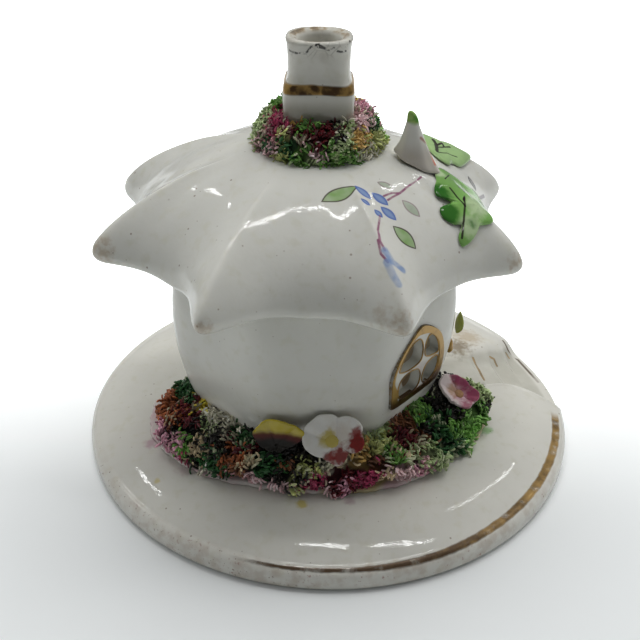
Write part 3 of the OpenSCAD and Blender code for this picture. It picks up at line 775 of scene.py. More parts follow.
def make_stand():
    columns, crowding = 480, 0.45
    u = np.linspace(0, 2 * np.pi, columns + 1)
    # Columns crowd towards the path
    az = u - crowding * np.sin(u - math.radians(PATH_TURN))
    # Rings are centred on the cottage up to a radius, and the path lowers them from another one on
    on_cottage_r, path_r, flat_r = 22, 24, 26
    ring_in = RING_R - RING_T
    inner = rounded([
        (0, SEAT_Z - WELL_H), (WELL_R, SEAT_Z - WELL_H), (WELL_R, SEAT_Z), (ring_in, SEAT_Z),
        (ring_in, SEAT_Z + RING_H), (RING_R, SEAT_Z + RING_H), (RING_R, SEAT_Z), (flat_r, SEAT_Z),
    ], 0.6)
    flat = [(r, SEAT_Z) for r in np.arange(flat_r + 1, SEAT_FLAT_R, 0.5)]
    rim_x = STAND_R - RIM_ROUND
    dome = [(r, mix(SEAT_Z, RIM_H, ((r - SEAT_FLAT_R) / (rim_x - SEAT_FLAT_R)) ** 2))
            for r in np.linspace(SEAT_FLAT_R, rim_x, 26)]
    rim = [(rim_x + RIM_ROUND * math.sin(a), RIM_H - RIM_ROUND * (1 - math.cos(a)))
           for a in np.radians(np.linspace(9, 90, 10))]
    foot_in = STAND_R - FOOT_W
    under = rounded([
        (STAND_R, RIM_H - RIM_ROUND - 0.3), (STAND_R, 0), (foot_in, 0),
        (foot_in - UNDER_H, UNDER_H), (0, UNDER_H),
    ], 0.9)
    top = [tuple(p) for p in inner] + flat + dome + rim
    rows = []
    for r, z in top:
        centre = COTTAGE_X * (1 - ease(r, on_cottage_r, SEAT_FLAT_R))
        x, y = centre + r * np.cos(az), r * np.sin(az)
        z = np.full_like(x, z)
        rows.append(np.stack([x, y, path_depth(x, y, z) if r > path_r else z], -1))
    for r, z in under:
        x, y = r * np.cos(az), r * np.sin(az)
        rows.append(np.stack([x, y, path_depth(x, y, np.full_like(az, z))], -1))
    return smooth(wrap("round_stand", rows), 50)


def make_pastille():
    """A cone of pressed charcoal in the stand's well."""
    deselect()
    r, h = 6, 15
    z = SEAT_Z - WELL_H + h / 2
    bpy.ops.mesh.primitive_cone_add(
        vertices=48, radius1=r * MM, radius2=r / 4 * MM, depth=h * MM, location=(COTTAGE_X * MM, 0, z * MM))
    piece = added("pastille_cone")
    bpy.ops.object.transform_apply(location=True)
    modify(piece, "BEVEL", width=0.7 * MM, segments=3, limit_method="ANGLE")
    return smooth(piece, 40)


# Chimney


def make_chimney():
    """Square stack with softened corners, then a soft-square pot that flares to its rim."""
    a = np.linspace(0, 2 * np.pi, 129)
    stack_h, pot_w, rim_w = 13, 12.2, 13.1
    top = CHIMNEY_TOP - CROWN_Z

    def ring(w, h, power):
        """A square of width w at height h: its corners round off as power nears 1."""
        p = 2 / power
        r = w / 2 / (np.abs(np.cos(a)) ** p + np.abs(np.sin(a)) ** p) ** (1 / p)
        return np.stack([CHIMNEY_X + r * np.cos(a), r * np.sin(a), np.full_like(a, CROWN_Z + h)], -1)

    profile = [(STACK_W, h, 0.3) for h in (0, 3, 6, 9, stack_h - 2)]
    profile += [(STACK_W - 0.15, stack_h - 0.9, 0.31), (STACK_W - 0.6, stack_h - 0.1, 0.34)]
    profile += [(mix(STACK_W, pot_w, 0.75), stack_h + 0.5, 0.4), (pot_w + 0.1, stack_h + 1.2, 0.45)]
    for t in np.linspace(0.25, 0.9, 8):
        profile.append((mix(pot_w, rim_w, t ** 4), mix(stack_h, top, t), mix(0.48, 0.72, t)))
    profile += [(rim_w, top - 0.5, 0.75), (rim_w - 0.4, top - 0.15, 0.76), (rim_w - 1.1, top, 0.78)]
    profile += [(2 * FLUE_R + 2.2, top - 0.05, 0.88), (2 * FLUE_R + 0.9, top - 0.4, 0.95)]
    profile += [(2 * FLUE_R, h, 1) for h in np.linspace(top - 1.2, 0, 12)]
    profile.append(profile[0])
    return smooth(wrap("chimney_stack", [ring(*step) for step in profile]), 50)


# Moss


def moss_out(az):
    return BED_R + np.interp(az, SPREAD_AZ, SPREAD_BY)


def lump(az, turn):
    """Waves of three lengths over the moss."""
    az, turn = np.radians(az), np.radians(turn)
    waves = ((0.5, 7.3, 3), (0.3, 15.1, -5), (0.25, 29, 2))
    return sum(height * np.sin(by_az * az + by_turn * turn) for height, by_az, by_turn in waves)


def moss_swell(az, span):
    end = np.minimum(az - span[0], span[1] - az)
    return mix(MOSS_END, 1, np.sqrt(np.clip(end / MOSS_RUN_OUT, 0, 1)))


def wall_moss(az, turn):
    """Surface of the moss at the foot of the wall, at an azimuth and a turn round its section."""
    span = BED_SPANS["back_bed"] if np.max(az) < 180 else BED_SPANS["moss_bed"]
    size = moss_swell(az, span) * (1 + MOSS_LUMP * lump(az, turn))
    s, c = np.sin(np.radians(turn)), np.cos(np.radians(turn))
    z = BED_TOP + MOSS_H * np.maximum(0, MOSS_MID + MOSS_RISE * size * s)
    foot = wall_r(az, BED_TOP)
    (left_by, *left), (right_by, *right) = LEFT_SHORT, RIGHT_SHORT
    short = left_by * (1 - ease(az, *left)) * (az > 180) + right_by * ease(az, *right)
    reach = moss_out(az) + MOSS_HANG - short - foot
    r = foot + reach * 0.5 + reach * 0.5 * size * c - MOSS_LEAN * (z - BED_TOP)
    return polar(np.maximum(wall_r(az, z) + LUTE, r), az, z)


def stack_r(az):
    """Half width of the stack in one direction."""
    u, v = np.abs(np.cos(np.radians(az))), np.abs(np.sin(np.radians(az)))
    return np.minimum(STACK_W / 2 / np.maximum(u, v), (STACK_W - 1.7) / (u + v))


def chimney_moss(az, turn):
    """Surface of the moss that lies on the roof round the chimney and climbs its stack."""
    s, c = np.sin(np.radians(turn)), np.cos(np.radians(turn))
    inner = stack_r(az) + LUTE
    size = 1 + CHIMNEY_LUMP * lump(az, turn)
    reach = CHIMNEY_MOSS_R - inner
    r = np.maximum(inner, inner + reach * 0.45 + reach * 0.55 * size * c)
    x, y = CHIMNEY_X - COTTAGE_X + r * np.cos(np.radians(az)), r * np.sin(np.radians(az))
    roof = roof_z(np.degrees(np.arctan2(y, x)), np.hypot(x, y)) + LUTE
    z = np.maximum(roof, CROWN_Z + CHIMNEY_MOSS_H * (0.42 + 0.5 * size * s) - 0.5 * (r - inner))
    return np.stack([COTTAGE_X + x, y, z], -1)


# Enamels of the moss; its black is also painted shadow
PALETTE = {
    "black_and_shadow": (0.014, 0.012, 0.009), "deep_green": (0.026, 0.10, 0.028), "green": (0.13, 0.29, 0.055),
    "bright_green": (0.22, 0.46, 0.10), "lime": (0.48, 0.52, 0.19), "grey_green": (0.40, 0.50, 0.24),
    "ochre": (0.52, 0.33, 0.10), "rust": (0.36, 0.11, 0.04), "brown": (0.19, 0.075, 0.032),
    "maroon": (0.11, 0.010, 0.015), "magenta": (0.34, 0.04, 0.10), "pink": (0.66, 0.33, 0.42),
    "mauve": (0.46, 0.24, 0.25), "tan": (0.60, 0.48, 0.30), "white": (0.80, 0.76, 0.60),
    "yellow": (0.75, 0.60, 0.08), "blush": (0.78, 0.52, 0.53),
}
# Clumps of the moss by enamel: pixel of the photograph, and reach in pixels. The black clumps are black
# enamel and painted shadow, in the moss's hollows and under the yellow flower
CLUMPS = {
    "deep_green": [
        (185, 396, 5), (217, 465, 10), (224, 477, 6), (242, 441, 6), (265, 467, 11), (440, 424, 11),
        (452, 442, 8), (269, 141, 4), (290, 147, 6), (371, 125, 5),
    ],
    "rust": [(174, 413, 9), (236, 453, 9), (372, 470, 6)],
    "maroon": [
        (183, 408, 4), (196, 416, 7), (226, 437, 5), (248, 450, 6), (341, 482, 12), (400, 440, 8),
        (314, 137, 13), (330, 140, 8),
    ],
    "yellow": [(202, 412, 5), (299, 111, 6), (337, 117, 6)],
    "white": [
        (217, 421, 7), (227, 429, 6), (209, 416, 5), (199, 473, 7), (325, 469, 6), (349, 127, 5),
        (364, 156, 9),
    ],
    "grey_green": [
        (207, 427, 5), (377, 437, 6), (413, 449, 6), (430, 447, 6), (436, 456, 9), (484, 393, 6),
        (257, 121, 11), (343, 130, 5), (311, 161, 5), (346, 148, 6), (250, 136, 7),
    ],
    "black_and_shadow": [
        (193, 431, 9), (177, 430, 4), (194, 457, 5), (221, 444, 10), (286, 447, 17), (272, 478, 6),
        (296, 474, 8), (438, 402, 12), (430, 432, 7), (448, 412, 8), (484, 400, 5), (339, 135, 6),
    ],
    "pink": [(168, 440, 11), (346, 494, 8), (420, 470, 8), (366, 113, 4)],
    "magenta": [
        (169, 437, 4), (189, 464, 5), (254, 486, 3), (318, 484, 8), (366, 478, 7), (281, 119, 9),
    ],
    "green": [
        (188, 444, 7), (392, 452, 6), (418, 412, 8), (456, 428, 9), (476, 414, 8), (275, 103, 7),
        (311, 123, 8), (301, 153, 8), (331, 155, 7), (350, 158, 6),
    ],
    "tan": [(201, 449, 6), (245, 462, 7), (344, 463, 6), (410, 461, 7), (388, 476, 8)],
    "brown": [(234, 464, 6), (282, 464, 5), (382, 464, 9), (406, 424, 9), (421, 440, 7)],
    "mauve": [(237, 473, 7), (266, 132, 7), (373, 113, 5)],
    "blush": [
        (250, 484, 8), (273, 491, 8), (328, 494, 6), (402, 474, 9), (317, 151, 6), (263, 151, 7),
        (363, 123, 6),
    ],
    "lime": [(295, 484, 7), (307, 467, 7), (384, 444, 9), (281, 145, 7), (373, 139, 8)],
    "ochre": [(361, 464, 8), (295, 121, 6), (362, 140, 5)],
    "bright_green": [(470, 430, 10), (383, 129, 6)],
}
CLUMP_AT = np.array([clump[:2] for clumps in CLUMPS.values() for clump in clumps], float)
CLUMP_REACH = np.array([reach for clumps in CLUMPS.values() for *_, reach in clumps], float)
CLUMP_TINT = np.array([PALETTE[enamel] for enamel, clumps in CLUMPS.items() for _ in clumps])
# Pale at the tips of some tufts: bare clay, and a painted glint
BARE_CLAY_AND_GLINT = np.array([0.60, 0.62, 0.42])
# The photograph doesn't show the moss behind this
HIDDEN_Y = 8
# How far enamels stray, in pixels
STRAY = 1.5


def moss_tints(points, rng):
    """Tint of each point: that of the clump it falls in, seen in the photograph, give or take some pixels.

    The back, which the photograph hides, takes after the front.
    """
    front = np.where(points[:, 1:2] > HIDDEN_Y, points * [1, -1, 1], points)
    seen = pixels_of(front) + rng.normal(0, STRAY, (len(points), 2))
    gaps = np.linalg.norm(seen[:, None] - CLUMP_AT[None], axis=-1) / CLUMP_REACH
    return CLUMP_TINT[gaps.argmin(1)]


# Threads: their curl, their thickness over their length, and how many make a tuft of which radius
CURL, THREAD_R = 1.9, 0.115
TUFT, TUFT_R = 12, 0.8
# Turns round the moss's section that threads grow from
THREAD_TURNS, TURN_LIMITS = (-35, 165), (-40, 170)
# How far tufts lean and fan out, and how far each thread strays and twists from its tuft
TUFT_LEAN, FAN, THREAD_STRAY, THREAD_TWIST = 0.5, 0.25, 0.25, 0.5
# Least and most of the threads' length, of their brightness, and of the pale at the tip of some,
# which is bare clay and a painted glint
THREAD_LONG, THREAD_LIGHT, THREAD_BARE = (0.75, 1.25), (0.55, 1.35), (0.2, 0.9)
# How deep threads are rooted, the painted shade at their roots, the painted highlight at their tips,
# and the painted shade on the clump under them
ROOT_DEPTH, ROOT_SHADE, TIP_HIGHLIGHT, CLUMP_SHADE = 0.3, 0.3, 1.1, 0.25
LIGHTEST = 0.9


def make_strand():
    """One curled thread of clay, about 1 long along its curl, with its root at the origin."""
    rings = []
    for t, size in ((0, 1), (0.28, 1), (0.56, 1), (0.82, 0.95), (0.98, 0.6), (1, 0)):
        turn = CURL * t
        centre = np.array([(1 - math.cos(turn)) / CURL, 0, math.sin(turn) / CURL])
        side = np.array([math.cos(turn), 0, -math.sin(turn)])
        a = np.radians(np.arange(0, 361, 90))[:, None]
        rings.append(centre + THREAD_R * size * (np.cos(a) * side + np.sin(a) * np.array([0, 1, 0])))
    strand = wrap("strand", np.array(rings) / MM)
    points = np.array([v.co for v in strand.data.vertices])
    faces = [tuple(face.vertices) for face in strand.data.polygons]
    bpy.data.objects.remove(strand)
    return points, faces


def moss_out_from(surface, az, turn, root):
    """Direction that points out of the moss at its surface."""
    out = unit(np.cross(surface(az + 0.5, turn) - root, surface(az, turn + 2) - root) + 1e-9)
    away = (root - polar(0, 0, root[:, 2])) * [1, 1, 0] + [0, 0, 12]
    return out * np.sign((out * away).sum(1, keepdims=True))


def make_moss(name, surface, span, count, length, bare_share, rng, strand):
    """A clump that follows a surface over a span of azimuths, with tufts of curled clay threads on it."""
    turns, into_corner, body_share = np.linspace(0, 360, 29)[:-1], np.array([225.0]), 0.9
    sections = []
    for az in np.arange(span[0], span[1] + 0.5, 1.0):
        corner = surface(np.array([az]), into_corner)
        sections.append(mix(corner, surface(np.full_like(turns, az), turns), body_share))
    body = sweep(name + "_body", sections)
    template, faces = strand
    tufts = count // TUFT
    tuft_az, tuft_turn = rng.uniform(*span, tufts), rng.uniform(*THREAD_TURNS, tufts)
    middle = surface(tuft_az, tuft_turn)
    per_az = np.linalg.norm(surface(tuft_az + 1, tuft_turn) - middle, axis=1)
    per_turn = np.linalg.norm(surface(tuft_az, tuft_turn + 1) - middle, axis=1)
    pick = rng.integers(0, tufts, count)
    aside = rng.normal(0, TUFT_R, count) / np.maximum(per_az, 0.1)[pick]
    az = np.clip(tuft_az[pick] + aside, *span)
    aside = rng.normal(0, TUFT_R, count) / np.maximum(per_turn, 0.05)[pick]
    turn = np.clip(tuft_turn[pick] + aside, *TURN_LIMITS)
    root = surface(az, turn)
    out = moss_out_from(surface, az, turn, root)
    lean = rng.normal(0, TUFT_LEAN, (tufts, 3))[pick]
    heading = unit(out + lean + FAN * (root - middle[pick]) + rng.normal(0, THREAD_STRAY, (count, 3)))
    twist = rng.normal(0, 1, (tufts, 3))[pick] + rng.normal(0, THREAD_TWIST, (count, 3))
    side = unit(np.cross(heading, twist))
    frames = np.stack([side, np.cross(heading, side), heading], -1)
    shaped = template[None] * length * rng.uniform(*THREAD_LONG, (count, 1, 1))
    points = np.einsum("nij,nkj->nki", frames, shaped) + (root - out * ROOT_DEPTH * length)[:, None]
    tints = moss_tints(middle, rng)[pick] * rng.uniform(*THREAD_LIGHT, (count, 1))
    up = np.clip(template[:, 2] * CURL, 0, 1)[None, :, None]
    bare_tufts = rng.uniform(0, 1, tufts) < bare_share
    bare = bare_tufts[pick, None, None] * rng.uniform(*THREAD_BARE, (count, 1, 1))
    # Painted shade towards each thread's root and painted highlight at its tip; the pale at the tips of some
    # is bare clay and a painted glint
    shade = mix(tints[:, None] * mix(ROOT_SHADE, TIP_HIGHLIGHT, up), BARE_CLAY_AND_GLINT, bare * up)
    deselect()
    mesh = bpy.data.meshes.new(name)
    steps = np.arange(count) * len(template)
    copies = [tuple(i + step for i in face) for step in steps for face in faces]
    mesh.from_pydata((points * MM).reshape(-1, 3).tolist(), [], copies)
    threads = bpy.data.objects.new(name, mesh)
    bpy.context.scene.collection.objects.link(threads)
    body_points = np.array([v.co for v in body.data.vertices]) / MM
    # The clump under the threads is darkened: painted shade in the moss's hollows
    body_shade = moss_tints(body_points, rng) * (CLUMP_SHADE + bare_share)
    piece = join(name, [threads, body])
    shades = np.clip(np.vstack([shade.reshape(-1, 3), body_shade]), 0, LIGHTEST)
    tint = piece.data.color_attributes.new("tint", "FLOAT_COLOR", "POINT")
    tint.data.foreach_set("color", np.hstack([shades, np.ones((len(shades), 1))]).ravel())
    gloss = piece.data.attributes.new("gloss", "FLOAT", "POINT")
    gloss.data.foreach_set("value", np.repeat([1.0, 0.0], [shade.shape[0] * shade.shape[1], len(body_shade)]))
    return smooth(piece, 60)


def make_bed(name, span):
    """Clay bed under the moss, with an uneven rounded edge."""
    sections = []
    for az in np.arange(span[0], span[1] + 0.5, 1.0):
        wobble = 0.5 * math.sin(az * 0.7) + 0.35 * math.sin(az * 1.9 + 1)
        outer = moss_out(az) + 0.3 * wobble
        foot = wall_r(np.array(az), SEAT_Z) + LUTE
        r = np.array([foot, outer - 0.5, outer - 0.1, outer, outer - 0.15, outer - 0.6, foot])
        z = np.array([SEAT_Z, SEAT_Z, SEAT_Z + 0.15, SEAT_Z + 0.55, BED_TOP - 0.15, BED_TOP, BED_TOP])
        sections.append(polar(r, az, z))
    return smooth(sweep(name + "_clay", sections), 60)


# Flowers and leaves


def flower_frame(az, r, z, heading, tilt):
    """Frame of a flower: its face looks along its own Z."""
    place = Matrix.Translation(polar(r, az, z))
    look = Matrix.Rotation(math.radians(heading), 4, "Z") @ Matrix.Rotation(math.radians(90 - tilt), 4, "Y")
    return place @ look


def on_face(pixel, where, height):
    """Where a pixel of the photograph falls at a height over a flower's face, in the flower's own frame."""
    into = where.inverted()
    start, step = into @ (CAMERA_AT / MM), into.to_3x3() @ sight_of(pixel)
    return (start + step * (height - start.z) / step.z).to_2d()


def put(piece, where):
    """Moves a piece from the origin into a frame whose place is in millimetres."""
    piece.data.transform(Matrix.Translation(where.translation * MM) @ where.to_3x3().to_4x4())


def make_flower(name, where, edge, folds, cup, thick=0.7):
    """A flower pressed from one sheet: its edge and the ends of the folds between its petals, in pixels."""
    ruffle_h, ruffles, droop, droop_from, fold_h, fold_w = 0.12, 11, 0.5, 0.86, 0.55, 9
    spots = [on_face(pixel, where, cup) for pixel in edge]
    turn = np.degrees(np.arctan2([p.y for p in spots], [p.x for p in spots]))
    a = np.arange(0, 361, 4)
    reach = np.interp(a, turn, [p.length for p in spots], period=360)
    share = np.array([0.04, 0.14, 0.26, 0.4, 0.54, 0.67, 0.79, 0.88, 0.95, 1])[:, None]
    z = cup * share ** 1.6 + ruffle_h * share ** 3 * np.sin(np.radians(ruffles * a))
    z = z - droop * np.clip(share - droop_from, 0, 1)
    for pixel in folds:
        spot = on_face(pixel, where, cup)
        gap = (a - math.degrees(math.atan2(spot.y, spot.x)) + 180) % 360 - 180
        z = z - fold_h * share * np.exp(-(gap / fold_w) ** 2)
    r = reach * share
    piece = wrap(name, np.stack([r * np.cos(np.radians(a)), r * np.sin(np.radians(a)), z], -1))
    modify(piece, "SOLIDIFY", thickness=thick * MM, offset=0)
    modify(piece, "SUBSURF", levels=1, render_levels=1)
    put(piece, where)
    return smooth(piece, 60)


def make_ball(name, r):
    deselect()
    bpy.ops.mesh.primitive_uv_sphere_add(segments=32, ring_count=16, radius=r * MM)
    return added(name)


def make_eye(name, where, r, h):
    """A small rough dome in the middle of a flower."""
    piece = make_ball(name, r)
    for vertex in piece.data.vertices:
        grain = 1 + 0.06 * math.sin(vertex.co.x / MM * 7) * math.sin(vertex.co.y / MM * 8 + 1)
        vertex.co = Vector((vertex.co.x, vertex.co.y, vertex.co.z * h / r)) * grain
    put(piece, where)
    return smooth(piece, 60)


def make_bloom():
    """Trumpet bloom that stands on its mouth on the roof, with its tip leaning to the chimney."""
    az, turn, mouth, height, slope = 345, 26, 4.6, 11, math.radians(22)
    foot = roof_at(az, turn, 0.35)
    tip = foot + height * np.array([-0.11, 0, 0.96])
    a = math.radians(az)
    down = np.array([math.cos(slope) * math.cos(a), math.cos(slope) * math.sin(a), -math.sin(slope)])
    along = np.array([-math.sin(a), math.cos(a), 0])
    spin = np.radians(np.linspace(0, 360, 65))[:, None]
    share = [0, 0, 0.02, 0.07, 0.14, 0.26, 0.42, 0.6, 0.74, 0.79, 0.86, 0.93, 0.98, 1]
    size = [0, 0.88, 0.99, 0.98, 0.86, 0.7, 0.55, 0.41, 0.3, 0.26, 0.25, 0.21, 0.13, 0]
    rows = []
    for t, k in zip(share, size):
        # Six shallow flutes run up from the mouth
        flute = 1 + 0.05 * (1 - t) * np.cos(6 * spin)
        reach = np.where(np.cos(spin) > 0, 1.2, 1) * np.cos(spin)
        aside = np.where(np.sin(spin) < 0, 0.6, 1) * np.sin(spin)
        rows.append(mix(foot, tip, t) + mouth * k * flute * (reach * down + aside * along))
    piece = wrap("trumpet_bloom", rows)
    modify(piece, "SUBSURF", levels=1, render_levels=1)
    return smooth(piece, 50)


# Outlines of the leaves on the roof: azimuth, and turn from the crown
FRONT_LEAF_AT = (338, 49)
FRONT_LEAF = [
    (353, 37), (346, 34.5), (338, 34), (332, 37), (329, 41), (331.5, 45), (325.5, 46.5), (323, 51),
    (325, 55.5), (327.5, 56.5), (323.5, 62), (323, 67), (327, 65), (332, 58.5), (336, 58), (341, 57),
    (347, 61), (353, 62.5), (356.5, 58), (354.5, 51), (354, 44),
]
BACK_LEAF_AT = (17, 41)
BACK_LEAF = [
    (22, 54), (16, 53.5), (11, 51), (9, 46), (4, 43.5), (4.5, 38), (11, 34), (17, 32), (24, 28), (32, 30),
    (31, 36), (26, 40), (29, 46), (27, 51),
]


def make_leaf(name, centre, outline, thick=0.6, clear=0.35, raised=0):
    """A leaf laid over the roof, thin at its edge and raised towards its higher azimuths."""
    edge = drawn(outline, 4)
    edge = np.vstack([edge, edge[:1]])
    shares = [1, 0.985, 0.94, 0.86, 0.74, 0.6, 0.45, 0.3, 0.15, 0]

    def lift(spot):
        return clear + raised * np.clip((spot[:, 0] - centre[0]) / 15, 0, 1)

    rows = [roof_at(*edge.T, lift(edge))]
    for share in shares:
        spot = centre + (edge - centre) * share
        wave = 0.16 * np.sin(np.arange(len(edge)) / (len(edge) - 1) * 2 * np.pi * 5) * share
        rows.append(roof_at(*spot.T, lift(spot) + thick * (1 - share ** 9) ** 0.5 + wave * (1 - share ** 4)))
    rows.append(roof_at(*centre, clear) * np.ones_like(rows[0]))
    rows.append(rows[0])
    return smooth(wrap(name, rows), 70)


CLIMBER_AZ = 353


def make_climber_leaf():
    """A small leaf beside the door, flat to the wall."""
    middle_z, half_h, half_w, clear, arch, curl = 29, 2.9, 1.9, 1.9, 0.75, 0.25
    t = np.linspace(0.02, 0.98, 15)
    z = middle_z + half_h * (2 * t - 1)
    half = half_w * np.sin(np.pi * t) ** 0.8
    v = np.radians(np.linspace(0, 360, 17))[:-1]
    sections = []
    for height, w in zip(z, half):
        y = w * np.cos(v)
        lift = clear + arch * np.sin(v) * (w / half_w) + curl * np.abs(y)
        az = CLIMBER_AZ + np.degrees(y / FACE_A)
        sections.append(polar(wall_r(az, height) + lift, az, height))
    return smooth(sweep("climber_leaf_blade", sections), 60)


def make_climber_bloom():
    """A rough amber bud below the leaf, close to the wall."""
    r, z, clear, squash = 1.7, 22.8, 1.2, (0.6, 1, 1.1, 1)
    piece = make_ball("climber_amber_bloom", r)
    for vertex in piece.data.vertices:
        grain = 1 + 0.05 * math.sin(vertex.co.z / MM * 3) * math.sin(vertex.co.y / MM * 3 + 1)
        vertex.co = vertex.co * grain
    at = polar(wall_r(np.array(CLIMBER_AZ), z) + clear, CLIMBER_AZ, z)
    piece.data.transform(Matrix.Translation(Vector(at) * MM) @ Matrix.Diagonal(squash))
    return smooth(piece, 60)


# Finishes

BLUE = (0.06, 0.13, 0.42)
BLUE_PALE = (0.20, 0.30, 0.52)
TWIG = (0.27, 0.095, 0.17)
DARK_PAINT = (0.12, 0.09, 0.11)

# Painted spray on the roof: places in pixels of the photograph, widths in millimetres
GREEN_LEAVES = [((321, 202), (358, 187), 3.2), ((393, 226), (416, 249), 3.1)]
PALE_LEAVES = [((402, 200), (420, 217), 2.5), ((377, 182), (394, 189), 1.9)]
BLUE_PETALS = [
    ((354, 185), (372, 200), 2.1), ((360, 198), (371, 206), 1.6), ((371, 192), (389, 206), 2.2),
    ((374, 209), (383, 218), 1.7), ((380, 206), (397, 221), 2.2),
]
TWIGS = [
    [(421, 177), (410, 185), (400, 193), (388, 200)], [(400, 193), (392, 193), (384, 196)],
    [(380, 216), (378, 230), (380, 241), (385, 250)], [(378, 240), (381, 254), (388, 262)],
]
BLUE_STROKES = [[(385, 250), (393, 262), (403, 270)], [(387, 262), (393, 275), (399, 284)]]
DARK_LEAVES = [((468, 176), (476, 191), 2.2)]
DARK_MARK = [(480, 198), (484, 196)]
# Leaves of a kind, their fill, their outline and its strength
PAINTED_LEAVES = [
    (GREEN_LEAVES, (0.20, 0.36, 0.10), (0.075, 0.055, 0.05), 0.9),
    (PALE_LEAVES, (0.34, 0.40, 0.30), (0.30, 0.22, 0.24), 0.7),
    (DARK_LEAVES, (0.20, 0.20, 0.19), (0.06, 0.045, 0.055), 0.9),
]
# Stains at the tips of the roof: pixel of the photograph, reach and softness
TIP_STAINS = [((203, 331), 1.0, 1.6), ((100, 250), 1.6, 2.2), ((402, 330), 0.8, 2.4), ((516, 262), 0.6, 2.2)]
ROOF_STAIN = (388, 318)


def roof_finish(roof):
    f = glaze("roof_glaze", PORCELAIN, **CLEAR)
    f.lay(TAN, f.spot(roof, ROOF_STAIN, 0.5, 4.5, 1.2) * f.ramp(f.noise(500, 3), 0.4, 0.65) * 0.35)
    f.lay(DIRT, specks(f, 560, 0.17, 0.16) * f.fade(f.axis("X"), 0, -20) * 0.7)
    for pixel, reach, soft in TIP_STAINS:
        stain = f.spot(roof, pixel, reach, soft, 1) * f.ramp(f.noise(800, 3), 0.35, 0.6, 0.25, 1)
        f.lay(TAN, stain * 0.5)
    for leaves, fill, line, strength in PAINTED_LEAVES:
        for base, tip, width in leaves:
            inside = f.leaf(roof, base, tip, width)
            f.lay(fill, f.ramp(inside, 0, 0.15) * f.ramp(f.noise(300), 0.3, 0.7, 0.6, 0.95))
            f.lay(line, f.ramp(abs(inside - 0.12), 0.06, 0.28, strength, 0))
    for base, tip, width in BLUE_PETALS:
        inside = f.leaf(roof, base, tip, width)
        tone = f.blend(BLUE, BLUE_PALE, f.ramp(inside, 0.2, 0.9))
        f.lay(tone, f.ramp(inside, 0, 0.25) * 0.92)
    for twig in TWIGS:
        f.lay(TWIG, f.stroke(roof, twig, 0.26, 0.22) * f.ramp(f.noise(600), 0.3, 0.6, 0.5, 0.95))
    for stroke in BLUE_STROKES:
        wash = f.stroke(roof, stroke, 0.9, 0.5) * f.ramp(f.noise(420), 0.3, 0.7, 0.4, 0.85)
        f.lay(BLUE_PALE, wash)
    f.lay(DARK_PAINT, f.stroke(roof, DARK_MARK, 0.5, 0.35) * 0.75)
    return [f.done()]


# Colours that ran on to the stand; the last two, by the door, are painted shade and stain on the path.
# Pixel of the photograph, reach and softness, tint, strength
SMEARS = [
    ((302, 504), 0.6, 1.1, (0.55, 0.45, 0.08), 0.75), ((157, 481), 0.3, 0.7, (0.55, 0.45, 0.12), 0.6),
    ((350, 501), 0.3, 1.4, (0.30, 0.15, 0.20), 0.5), ((486, 430), 0.5, 1.8, (0.16, 0.38, 0.10), 0.7),
    ((152, 443), 0.4, 2.0, (0.42, 0.22, 0.29), 0.6), ((163, 404), 1.2, 0.8, (0.10, 0.28, 0.06), 0.92),
    ((185, 470), 0.3, 2.5, (0.45, 0.33, 0.34), 0.45), ((467, 337), 1.0, 4.5, (0.42, 0.32, 0.20), 0.6),
    ((457, 347), 0.6, 4.5, (0.20, 0.15, 0.09), 0.8),
]
PATH_END = [(503, 341), (508, 350), (518, 360), (528, 371), (538, 382)]
STEP_LINES = [
    [(473, 358), (479, 370), (484, 380)], [(490, 357), (494, 359), (497, 366)], [(506, 353), (509, 358)],
]
PATH_SHADE_AND_DIRT, OLD_GILT = (0.47, 0.46, 0.40), (0.09, 0.06, 0.03)
GRIME, RUST_STAIN = (0.42, 0.33, 0.26), (0.30, 0.12, 0.09)
# How far the dome falls from the seat to the rim
DOME_DROP = 3


